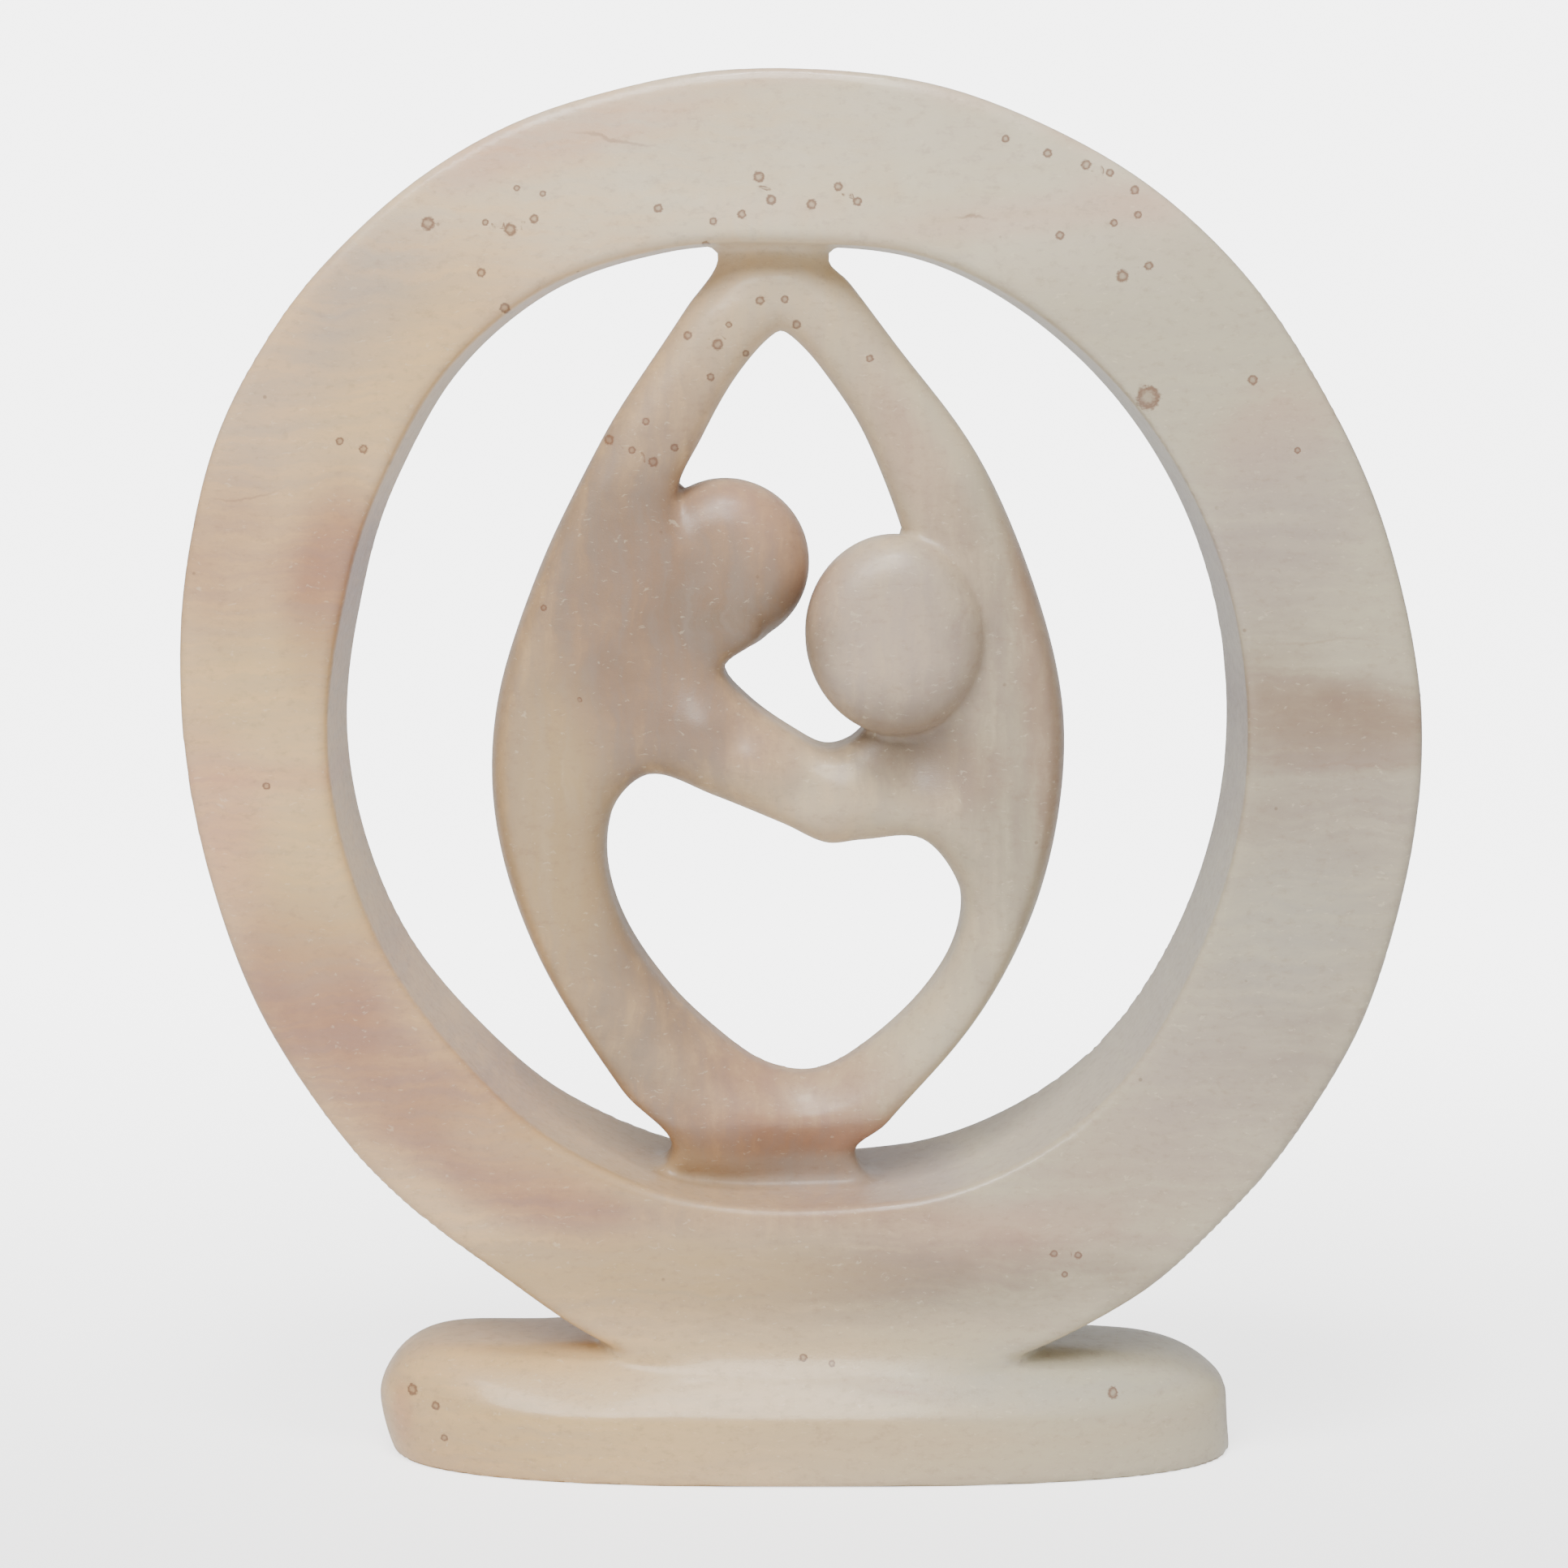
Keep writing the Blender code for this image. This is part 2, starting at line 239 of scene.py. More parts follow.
@dataclass
class RingForm:
    """The standing oval ring: its outlines, its thickness from front to back and its edges."""

    width: float = 222.5
    height: float = 235.1
    bottom: float = 18.9
    depth_at_foot: float = 37.0
    depth_at_top: float = 30.0
    rim_left: float = 26.5
    rim_right: float = 31.5
    rim_top: float = 30.4
    rim_bottom: float = 34.2
    outer_edge: float = 1.8
    inner_edge_low: float = 1.1
    inner_edge_side: float = 2.4
    edge_lean: float = 0.6
    edge_reach: Pair = (-70.0, -10.0)
    floor_slope: float = 0.08
    floor_reach: float = 60.0
    outside_shares: tuple[Pair, ...] = (
        (1.000, 0.513), (0.950, 0.635), (0.849, 0.747), (0.702, 0.849), (0.502, 0.929),
        (0.260, 0.980), (0.000, 1.000), (-0.269, 0.987), (-0.524, 0.943), (-0.739, 0.864),
        (-0.901, 0.760), (-0.986, 0.638), (-0.999, 0.513), (-0.961, 0.390), (-0.869, 0.273),
        (-0.722, 0.168), (-0.517, 0.085), (-0.260, 0.012), (0.250, 0.000), (0.537, 0.056),
        (0.751, 0.152), (0.903, 0.264), (0.981, 0.388),
    )
    hole_shares: tuple[Pair, ...] = (
        (1.003, 0.500), (0.966, 0.626), (0.869, 0.744), (0.714, 0.850), (0.509, 0.935),
        (0.263, 0.988), (-0.020, 1.000), (-0.275, 0.992), (-0.534, 0.949), (-0.748, 0.860),
        (-0.882, 0.748), (-0.959, 0.643), (-1.003, 0.500), (-0.977, 0.373), (-0.885, 0.253),
        (-0.725, 0.148), (-0.510, 0.055), (-0.200, -0.006), (0.250, -0.007), (0.533, 0.041),
        (0.758, 0.133), (0.897, 0.248), (0.981, 0.371),
    )

    @property
    def floor(self) -> float:
        """The height of the hole's floor."""
        return self.bottom + self.rim_bottom

    @property
    def hole_height(self) -> float:
        """The hole's height."""
        return self.height - self.rim_top - self.rim_bottom

    def outside(self) -> Outline:
        """The ring's outer outline."""
        half_width = self.width / 2
        return Outline(
            tuple((x * half_width, self.bottom + z * self.height) for x, z in self.outside_shares)
        )

    def hole(self) -> Outline:
        """The hole's outline, which stands a little to one side because the rim is thicker there."""
        half_width = (self.width - self.rim_left - self.rim_right) / 2
        middle = (self.rim_left - self.rim_right) / 2
        return Outline(
            tuple((middle + x * half_width, self.floor + z * self.hole_height) for x, z in self.hole_shares)
        )

    def distance(self, plan: dict[str, Array], x: Array, y: Array, z: Array) -> Array:
        """The ring's field: inside the outer outline, outside the hole, between its two faces.

        The floor of the hole falls towards the front: there the hole's distance is shifted by the
        slope, as far as the hole's edge faces up.

        Args:
            plan: the outlines' distances at the points.
            x, y, z: the points.

        Returns:
            The signed distance.
        """
        share = np.clip((z - self.bottom) / self.height, 0, 1)
        half_depth = (self.depth_at_foot + (self.depth_at_top - self.depth_at_foot) * share) / 2
        face = np.abs(y) - half_depth
        low = 1 - stepped(z, self.floor, self.floor + self.floor_reach)
        wall = -(plan["hole"] - self.floor_slope * y * plan["hole rise"] * low)
        edge = self.inner_edge_low + (self.inner_edge_side - self.inner_edge_low) * (
            1 - stepped(x - self.edge_lean * (z - self.floor), *self.edge_reach)
        )
        outer = rounded_edge(plan["ring"], face, self.outer_edge)
        inner = rounded_edge(wall, face, edge)
        return np.maximum(outer, inner)


@dataclass
class FootForm:
    """The oval foot: a low drum with an upright wall and a crowned top."""

    half_length: float = 79.5
    half_depth: float = 27.0
    middle: float = 0.8
    plan_power: float = 2.6
    wall: float = 12.2
    rise: float = 10.8
    shoulder: float = 0.60
    side_curve: float = 1.25
    left_rise: float = 9.6
    left_power: float = 20.0
    right_rise: float = 8.2
    right_power: float = 12.0
    back_fall: float = 0.065
    top_edge: float = 0.9
    bottom_edge: float = 0.9
    left_tuck: float = 3.0
    left_swell: float = 0.4
    right_draft: float = 0.8
    right_swell: float = 0.2
    side_reach: Pair = (0.25, 0.65)
    end_reach: Pair = (0.2, 0.9)
    furthest: float = 1.05

    def distance(self, x: Array, y: Array, z: Array) -> Array:
        """The foot's field.

        In plan it is a superellipse: rho = (|x/a|^n + |y/b|^n)^(1/n). The top is flat as far as a
        shoulder s and slopes from there to the wall, by ((rho - s) / (1 - s))^q of the rise. Towards
        the ends it falls as rho^p instead, from a lower crown. It also falls a little towards the
        back. The left end tucks in at the ground and the right one leans in at its top.

        Args:
            x, y, z: the points.

        Returns:
            The signed distance.
        """
        across = x - self.middle
        lift = np.clip(z / self.wall, 0, 1)
        tuck = self.left_tuck * (1 - lift) ** 2 - self.left_swell
        draft = self.right_draft * lift - self.right_swell
        a = self.half_length - np.where(across < 0, tuck, draft)
        b = self.half_depth
        n = self.plan_power
        u, v = np.abs(across) / a + 1e-6, np.abs(y) / b + 1e-6
        powered = u**n + v**n
        toward_side = stepped(u, *self.side_reach)
        side_rise = np.where(across < 0, self.left_rise, self.right_rise)
        rise = self.rise + (side_rise - self.rise) * toward_side
        rho = powered ** (1 / n)
        slope = rho ** (1 - n) * np.hypot(u ** (n - 1) / a, v ** (n - 1) / b)
        side = (rho - 1) / np.maximum(slope, 1e-4)
        toward_end = stepped(u**2 / (u**2 + v**2), *self.end_reach)
        power = np.where(across < 0, self.left_power, self.right_power)
        capped = np.minimum(rho, self.furthest)
        down = np.maximum(capped - self.shoulder, 1e-6) / (1 - self.shoulder)
        side_drop, end_drop = down**self.side_curve, capped**power
        drop = side_drop + (end_drop - side_drop) * toward_end
        side_steepness = self.side_curve * down ** (self.side_curve - 1) / (1 - self.shoulder)
        end_steepness = power * capped ** (power - 1)
        steepness = side_steepness + (end_steepness - side_steepness) * toward_end
        top_height = self.wall + rise * (1 - drop) - self.back_fall * y * (1 - capped**2)
        fall = rise * steepness * slope
        top = (z - top_height) / np.sqrt(1 + fall**2)
        drum = rounded_edge(side, top, self.top_edge)
        return rounded_edge(drum, -z, self.bottom_edge)


@dataclass(frozen=True)
class Head:
    """One faceless head: an oval, rounded all round its rim and flatter at its front and back."""

    across: float
    up: float
    half_width: float
    half_height: float
    back: float
    half_depth: float
    rounding: float
    joint: float

    def distance(self, x: Array, y: Array, z: Array) -> Array:
        """The head's field: an oval's distance rounded into its two faces.

        Args:
            x, y, z: the points.

        Returns:
            The signed distance.
        """
        u, w = (x - self.across) / self.half_width, (z - self.up) / self.half_height
        rho = np.hypot(u, w) + 1e-6
        slope = np.hypot(u / self.half_width, w / self.half_height) / rho
        oval = (rho - 1) / np.maximum(slope, 1e-3)
        return rounded_edge(oval, np.abs(y - self.back) - self.half_depth, self.rounding)


@dataclass(frozen=True)
class Swell:
    """A soft swelling of the stone, or a hollow where it is below nothing."""

    across: float
    up: float
    reach: float
    height: float


@dataclass
class CoupleForm:
    """The two figures with their arms: one upright form with two gaps, rounded from every edge."""

    scale: float
    floor: float
    outer_rounding: float = 3.0
    arm_rounding: float = 7.0
    inner_rounding: float = 9.0
    side_bulge: float = 2.0
    bulge_depth: float = 12.0
    left_fill: float = 2.6
    arch_radius: float = 22.0
    arch_middle: float = -4.5
    arch_band: Pair = (206.0, 217.0)
    keel_foot: Pair = (49.0, 57.0)
    keel_top: Pair = (60.0, 72.0)
    left_band: Pair = (-16.0, 2.0)
    arm_band: Pair = (168.0, 196.0)
    gap_blend: float = 5.0
    ridge_power: float = 1.35
    ridge_band: Pair = (72.0, 96.0)
    crest: float = 1.2
    crest_rise: float = 6.8
    crest_band: Pair = (62.0, 110.0)
    outside_shares: tuple[Pair, ...] = (
        (-0.109, 1.050), (-0.091, 0.982), (-0.121, 0.933), (-0.211, 0.796), (-0.280, 0.657),
        (-0.326, 0.518), (-0.328, 0.377), (-0.284, 0.235), (-0.195, 0.091), (-0.141, 0.029),
        (-0.179, -0.042), (0.089, -0.042), (0.058, 0.021), (0.095, 0.055), (0.210, 0.198),
        (0.268, 0.341), (0.283, 0.482), (0.255, 0.622), (0.197, 0.761), (0.098, 0.898),
        (0.050, 0.961), (0.030, 0.984), (0.050, 1.050),
    )
    chest_gap_shares: tuple[Pair, ...] = (
        (-0.025, 0.908), (-0.067, 0.864), (-0.106, 0.796), (-0.133, 0.734), (-0.109, 0.682),
        (-0.043, 0.590), (-0.083, 0.552), (-0.057, 0.517), (-0.005, 0.481), (0.029, 0.466),
        (0.060, 0.479), (0.109, 0.543), (0.120, 0.623), (0.110, 0.692), (0.069, 0.796),
        (0.023, 0.865), (-0.008, 0.900),
    )
    heart_gap_shares: tuple[Pair, ...] = (
        (-0.094, 0.415), (-0.160, 0.438), (-0.199, 0.406), (-0.211, 0.345), (-0.192, 0.275),
        (-0.145, 0.203), (-0.092, 0.151), (-0.040, 0.117), (0.012, 0.109), (0.064, 0.134),
        (0.128, 0.190), (0.165, 0.250), (0.171, 0.310), (0.131, 0.367), (0.065, 0.367),
        (0.027, 0.364), (-0.017, 0.383),
    )
    half_depths: tuple[Pair, ...] = (
        (50.0, 3.8), (53.0, 4.4), (57.0, 6.2), (64.0, 10.4), (75.0, 11.6), (95.0, 12.6),
        (125.0, 13.4), (150.0, 13.5), (180.0, 12.4), (200.0, 11.2), (213.0, 10.4), (218.0, 9.4),
        (221.5, 6.6), (224.0, 5.6), (230.0, 5.6),
    )
    heads: tuple[Head, ...] = (
        Head(-13.9, 166.1, 15.2, 15.2, 3.5, 12.0, 9.5, 2.0),
        Head(17.1, 153.3, 16.3, 18.0, -5.0, 11.5, 8.0, 0.8),
    )
    swells: dict[str, Swell] = field(
        default_factory=lambda: {
            "left upper arm": Swell(-18.2, 134.0, 8.0, 1.2),
            "left forearm": Swell(-8.0, 129.0, 7.5, 1.4),
            "meeting of the hands": Swell(0.5, 124.5, 4.0, -1.6),
            "right forearm": Swell(8.0, 124.5, 8.0, 1.6),
            "under the right head": Swell(21.0, 133.0, 9.0, -4.2),
            "right shoulder": Swell(34.6, 149.0, 7.0, -1.0),
            "left throat": Swell(-21.0, 149.0, 7.5, -1.2),
            "upper knuckle": Swell(-18.0, 136.5, 4.2, 0.9),
            "crease between": Swell(-13.0, 133.5, 2.6, -0.6),
            "lower knuckle": Swell(-8.5, 130.5, 4.2, 0.8),
        }
    )

    def _placed(self, shares: tuple[Pair, ...]) -> Outline:
        """An outline given as shares of the hole's height, from the middle of its floor."""
        return Outline(tuple((x * self.scale, self.floor + z * self.scale) for x, z in shares))

    def outlines(self) -> dict[str, Outline]:
        """The figures' outline and the two gaps inside it, by name."""
        return {
            "figures": self._placed(self.outside_shares),
            "chest gap": self._placed(self.chest_gap_shares),
            "heart gap": self._placed(self.heart_gap_shares),
        }

    def relief(self, x: Array, z: Array) -> Array:
        """How far the swellings and hollows lift the front and back, each exp(-(distance/reach)^2)."""
        total = np.zeros(np.broadcast(x, z).shape)
        for swell in self.swells.values():
            away = ((x - swell.across) ** 2 + (z - swell.up) ** 2) / swell.reach**2
            total += swell.height * np.exp(-away)
        return total

    def distance(self, plan: dict[str, Array], x: Array, y: Array, z: Array) -> Array:
        """The figures' field, heads included.

        The half depth follows the height, measured along an arch at the raised hands, and is filled
        out at the left of the keel. The outer side bulges like a barrel and turns into the front with
        a tight radius on the bodies and a wide one on the raised arms; the sides of the gaps turn
        with a wide radius. The crest between the two is rounded, least at the legs.

        Args:
            plan: the outlines' distances at the points.
            x, y, z: the points.

        Returns:
            The signed distance.
        """
        sag = (x - self.arch_middle) ** 2 / (2 * self.arch_radius)
        arched = z + sag * stepped(z, *self.arch_band)
        half_depth = np.interp(arched, *zip(*self.half_depths)) + plan["relief"]
        keel = stepped(z, *self.keel_foot) * (1 - stepped(z, *self.keel_top))
        half_depth += self.left_fill * keel * (1 - stepped(x, *self.left_band))
        face = np.abs(y) - half_depth
        arms = stepped(z, *self.arm_band)
        bulge = self.side_bulge * np.clip(np.abs(y) / self.bulge_depth, 0, 1) ** 2 * (1 - arms)
        turn = self.outer_rounding + (self.arm_rounding - self.outer_rounding) * arms
        outer = rounded_edge(plan["figures"] + bulge, face, turn)
        gaps = smooth_greater(-plan["chest gap"], -plan["heart gap"], self.gap_blend)
        power = self.ridge_power + (2 - self.ridge_power) * stepped(z, *self.ridge_band)
        inner = rounded_edge(gaps, face, self.inner_rounding, power)
        crest = self.crest + self.crest_rise * stepped(z, *self.crest_band)
        bodies = smooth_greater(outer, inner, crest)
        for head in self.heads:
            bodies = filled_joint(bodies, head.distance(x, y, z), head.joint)
        return bodies


@dataclass
class Carving:
    """The whole stone: ring, foot and figures melted together, and the mesh of its surface."""

    ring: RingForm = field(default_factory=RingForm)
    foot: FootForm = field(default_factory=FootForm)
    pitch: float = 1.3
    plan_pitch: float = 0.7
    margin: float = 3.6
    seam_at_foot: float = 3.0
    seam_at_figures: float = 2.2
    waviness: float = 0.10
    wave_band: Pair = (1.0, 6.0)
    fine_stretch: Pair = (-4.0, 6.0)
    fine_share: float = 0.45
    ease: float = 0.5
    last_ease: float = 0.15

    def __post_init__(self) -> None:
        """Places the figures in the ring's hole."""
        self.couple = CoupleForm(self.ring.hole_height, self.ring.floor)
        self.plan_map = self._plan_map()

    def _plan_map(self) -> PlanMap:
        """Works out every outline's distance once, on the fine grid."""
        reach = self.ring.width / 2 + 2 * self.margin
        top = self.ring.bottom + self.ring.height + 2 * self.margin
        plan_map = PlanMap((-reach, -2 * self.margin), (reach, top), self.plan_pitch)
        across, up = plan_map.nodes()
        outlines = {"ring": self.ring.outside(), "hole": self.ring.hole(), **self.couple.outlines()}
        for name, outline in outlines.items():
            plan_map.keep(name, outline.signed_distance(across, up))
        plan_map.keep("hole rise", np.gradient(plan_map.layers["hole"], self.plan_pitch, axis=1))
        plan_map.keep("relief", self.couple.relief(across, up))
        return plan_map

    def distance(self, x: Array, y: Array, z: Array) -> Array:
        """The stone's field at any points.

        Ring and foot meet in a fillet, and the figures meet the ring in a smaller one. A faint
        waviness, a sum of three slow sine products, keeps the faces from being machined flat.

        Args:
            x, y, z: arrays that broadcast together.

        Returns:
            The signed distance, in millimetres.
        """
        plan = {name: self.plan_map.read(name, x, z) for name in self.plan_map.layers}
        block = filled_joint(
            self.ring.distance(plan, x, y, z), self.foot.distance(x, y, z), self.seam_at_foot
        )
        stone = filled_joint(block, self.couple.distance(plan, x, y, z), self.seam_at_figures)
        stone = np.maximum(stone, -z)
        wave = (
            np.sin(x / 7.3 + 1.1) * np.sin(z / 9.7 + 0.4)
            + np.sin(x / 12.1 - z / 10.3 + 2.0)
            + np.sin(x / 5.9 + z / 6.7 + 0.7) * 0.5
        )
        return stone + self.waviness * wave * stepped(z, *self.wave_band)

    def lattice(self) -> tuple[Array, Array, Array]:
        """The three sets of planes that the surface is searched between, closer at the heads' gap."""
        half_width = self.ring.width / 2 + self.margin
        half_depth = self.foot.half_depth + self.margin
        top = self.ring.bottom + self.ring.height + self.margin
        across = graded(
            -half_width, half_width, self.pitch, self.fine_stretch, self.fine_share
        )
        deep = graded(-half_depth, half_depth, self.pitch)
        up = graded(-self.margin, top, self.pitch)
        return across, deep, up

    def surface(self) -> tuple[Array, Array]:
        """The mesh of the zero surface: points in metres and faces of four corners."""
        across, deep, up = self.lattice()
        values = self.distance(
            across[:, None, None], deep[None, :, None], up[None, None, :]
        ).astype(np.float32)
        points, quads = net_of(values, across, deep, up)
        points = self.settled(points, quads)
        return points * MILLIMETRE, quads

    def settled(self, points: Array, quads: Array, rounds: int = 4) -> Array:
        """Evens the net out and brings every point onto the surface.

        Each round moves a point half way to the mean of its neighbours, or less in the last one, then
        along the field's slope by the field's value over the slope's squared length (a Newton step),
        twice.

        Args:
            points: the net's points.
            quads: its faces.
            rounds: how many rounds.

        Returns:
            The moved points.
        """
        ends = np.concatenate([quads, np.roll(quads, -1, axis=1)]).reshape(2, -1)
        start, end = ends
        count = np.bincount(start, minlength=len(points)) + np.bincount(end, minlength=len(points))
        for turn in range(rounds):
            total = np.empty_like(points)
            for axis in range(3):
                total[:, axis] = np.bincount(start, points[end, axis], len(points))
                total[:, axis] += np.bincount(end, points[start, axis], len(points))
            ease = self.ease if turn < rounds - 1 else self.last_ease
            points = points + ease * (total / count[:, None] - points)
            for _ in range(2):
                points = points - self.newton_step(points)
        return points

    def newton_step(self, points: Array, nudge: float = 0.05) -> Array:
        """The move that takes each point off the surface by one Newton step, at most a millimetre."""
        x, y, z = points.T
        value = self.distance(x, y, z)
        slope = np.column_stack(
            [
                (self.distance(x + nudge, y, z) - self.distance(x - nudge, y, z)) / (2 * nudge),
                (self.distance(x, y + nudge, z) - self.distance(x, y - nudge, z)) / (2 * nudge),
                (self.distance(x, y, z + nudge) - self.distance(x, y, z - nudge)) / (2 * nudge),
            ]
        )
        squared = np.maximum((slope**2).sum(axis=1), 0.25)
        move = slope * (value / squared)[:, None]
        length = np.maximum(np.linalg.norm(move, axis=1), 1e-9)
        return move * np.minimum(1, 1.0 / length)[:, None]


def graded(
    low: float, high: float, pitch: float, fine: Pair | None = None, fine_share: float = 1.0
) -> Array:
    """Planes from low to high a pitch apart, closer together in one stretch.

    Args:
        low, high: the ends.
        pitch: the usual gap.
        fine: the stretch with closer planes, if there is one.
        fine_share: their gap there, as a share of the pitch.

    Returns:
        The planes' places, rising.
    """
    if fine is None:
        return np.linspace(low, high, math.ceil((high - low) / pitch) + 1)
    before = np.linspace(low, fine[0], math.ceil((fine[0] - low) / pitch) + 1)
    inside = np.linspace(fine[0], fine[1], math.ceil((fine[1] - fine[0]) / (pitch * fine_share)) + 1)
    after = np.linspace(fine[1], high, math.ceil((high - fine[1]) / pitch) + 1)
    return np.concatenate([before, inside[1:], after[1:]])


def net_of(values: Array, across: Array, deep: Array, up: Array) -> tuple[Array, Array]:
    """The net over a field's zero surface (surface nets), as whole arrays.

    An edge of the lattice whose ends differ in sign crosses the surface, where the straight line
    between its two values is nothing. Each cell that has such edges gets one point, the mean of its
    crossings, and each such edge gets one face between its four cells, turned to face outwards.

    Args:
        values: the field on the lattice.
        across, deep, up: the lattice's planes.

    Returns:
        The points and the faces of four corners.
    """
    planes = (across, deep, up)
    cells = tuple(size - 1 for size in values.shape)
    total = np.zeros((math.prod(cells), 3))
    count = np.zeros(math.prod(cells))
    faces = []
    for axis in range(3):
        one, two = (axis + 1) % 3, (axis + 2) % 3
        low = np.take(values, range(cells[axis]), axis)
        high = np.take(values, range(1, cells[axis] + 1), axis)
        index = np.array(np.nonzero((low < 0) != (high < 0)))
        kept = (index[one] > 0) & (index[one] < cells[one]) & (index[two] > 0) & (index[two] < cells[two])
        index = index[:, kept]
        first, second = low[tuple(index)], high[tuple(index)]
        share = first / (first - second)
        place = np.empty((index.shape[1], 3))
        place[:, one] = planes[one][index[one]]
        place[:, two] = planes[two][index[two]]
        gap = planes[axis][index[axis] + 1] - planes[axis][index[axis]]
        place[:, axis] = planes[axis][index[axis]] + share * gap
        corners = []
        for back_one, back_two in ((1, 1), (0, 1), (0, 0), (1, 0)):
            cell = index.copy()
            cell[one] -= back_one
            cell[two] -= back_two
            number = np.ravel_multi_index(tuple(cell), cells)
            corners.append(number)
            count += np.bincount(number, minlength=len(count))
            for part in range(3):
                total[:, part] += np.bincount(number, place[:, part], len(count))
        face = np.column_stack(corners)
        outwards = first < 0
        faces.append(np.where(outwards[:, None], face, face[:, ::-1]))
    faces = np.concatenate(faces)
    used = np.nonzero(count)[0]
    renumber = np.full(len(count), -1)
    renumber[used] = np.arange(len(used))
    return total[used] / count[used][:, None], renumber[faces]


def mesh_object(name: str, points: Array, quads: Array) -> bpy.types.Object:
    """A smooth-shaded mesh object at the origin.

    Args:
        name: the object's name.
        points: its points, in metres.
        quads: its faces of four corners.

    Returns:
        The object, in the scene.
    """
    mesh = bpy.data.meshes.new(name)
    mesh.vertices.add(len(points))
    mesh.vertices.foreach_set("co", points.astype(np.float32).ravel())
    mesh.loops.add(quads.size)
    mesh.loops.foreach_set("vertex_index", quads.astype(np.int32).ravel())
    mesh.polygons.add(len(quads))
    mesh.polygons.foreach_set("loop_start", np.arange(0, quads.size, 4, dtype=np.int32))
    mesh.update(calc_edges=True)
    mesh.validate()
    mesh.shade_smooth()
    thing = bpy.data.objects.new(name, mesh)
    bpy.context.scene.collection.objects.link(thing)
    return thing


@dataclass(frozen=True)
class SoftLight:
    """An oblong soft light: where it hangs, what it faces, its size in metres and its watts."""

    name: str
    place: Place
    target: Place
    size: Pair
    power: float


@dataclass
class Studio:
    """The plain pale floor with its rising back, the soft lights and the camera."""

    camera_place: Place = (-0.00315, -0.65, 0.209116)
    camera_dip: float = 7.355
    focal_pixels: float = 4384.85
    frame_pixels: float = 1932.0
    sensor: float = 36.0
    floor_front: float = -1.2
    floor_back: float = 0.9
    backdrop_height: float = 1.6
    backdrop_curve: float = 0.5
    half_width: float = 1.8
    glow_reach: Pair = (-0.55, 0.60)
    glow: float = 4.6
    paper_white: float = 0.93
    paper_roughness: float = 0.9
    surround: float = 0.42
    soft_lights: tuple[SoftLight, ...] = (
        SoftLight("Key", (-0.22, -0.78, 0.98), (0.0, 0.0, 0.12), (0.75, 0.60), 15.5),
        SoftLight("Overhead", (-0.01, -0.38, 1.2), (0.0, 0.0, 0.03), (0.30, 0.20), 6.0),
    )

    def floor(self) -> bpy.types.Object:
        """The floor and its back: a profile of straight, quarter circle and straight, carried across."""
        angles = np.linspace(0, math.pi / 2, 24)
        bend_y = self.floor_back + self.backdrop_curve * np.sin(angles)
        bend_z = self.backdrop_curve * (1 - np.cos(angles))
        profile_y = np.concatenate([[self.floor_front], bend_y, [bend_y[-1]]])
        profile_z = np.concatenate([[0.0], bend_z, [self.backdrop_height]])
        across = np.linspace(-self.half_width, self.half_width, 9)
        points = np.empty((len(profile_y), len(across), 3))
        points[..., 0] = across[None, :]
        points[..., 1] = profile_y[:, None]
        points[..., 2] = profile_z[:, None]
        row = np.arange(len(profile_y) - 1)[:, None] * len(across)
        corner = (row + np.arange(len(across) - 1)[None, :]).ravel()
        quads = np.column_stack([corner, corner + 1, corner + len(across) + 1, corner + len(across)])
        thing = mesh_object("Studio_floor", points.reshape(-1, 3), quads)
        thing.data.materials.append(self.paper())
        return thing

    def paper(self) -> bpy.types.Material:
        """Matt white paper that glows where it rises at the back, as the camera sees it: glow = step(y)."""
        material = bpy.data.materials.new("Matt white paper")
        material.use_nodes = True
        wiring = Wiring(material.node_tree)
        shader = material.node_tree.nodes["Principled BSDF"]
        shader.inputs["Base Color"].default_value = (*[self.paper_white] * 3, 1)
        shader.inputs["Roughness"].default_value = self.paper_roughness
        coordinates = wiring.node("ShaderNodeTexCoord")
        glow = wiring.step(part_of(wiring, coordinates.outputs["Object"], 1), *self.glow_reach)
        wiring.feed(shader.inputs["Emission Color"], wiring.mixed(glow, (0, 0, 0, 1), (1, 1, 1, 1)))
        path = wiring.node("ShaderNodeLightPath")
        seen = wiring.math("MULTIPLY", path.outputs["Is Camera Ray"], self.glow)
        wiring.feed(shader.inputs["Emission Strength"], seen)
        return material

    def hang(self, light: SoftLight) -> None:
        """Hangs a soft light at its place, turned to its target."""
        lamp = bpy.data.lights.new(light.name, "AREA")
        lamp.shape = "RECTANGLE"
        lamp.size, lamp.size_y = light.size
        lamp.energy = light.power
        thing = bpy.data.objects.new(light.name, lamp)
        thing.location = light.place
        way = Vector(light.target) - Vector(light.place)
        thing.rotation_euler = way.to_track_quat("-Z", "Y").to_euler()
        bpy.context.scene.collection.objects.link(thing)

    def lights(self) -> None:
        """A wide soft key high in front, a small bright one above for the polish, and a pale surround."""
        for light in self.soft_lights:
            self.hang(light)
        world = bpy.data.worlds.new("Pale surround")
        world.use_nodes = True
        world.node_tree.nodes["Background"].inputs["Color"].default_value = (1, 1, 1, 1)
        world.node_tree.nodes["Background"].inputs["Strength"].default_value = self.surround
        bpy.context.scene.world = world

    def camera(self) -> None:
        """The camera, level with the figures' heads and looking down a little."""
        lens = bpy.data.cameras.new("Camera")
        lens.sensor_width = self.sensor
        lens.lens = self.focal_pixels / self.frame_pixels * self.sensor
        thing = bpy.data.objects.new("Camera", lens)
        thing.location = self.camera_place
        thing.rotation_euler = (math.radians(90 - self.camera_dip), 0, 0)
        bpy.context.scene.collection.objects.link(thing)
        bpy.context.scene.camera = thing


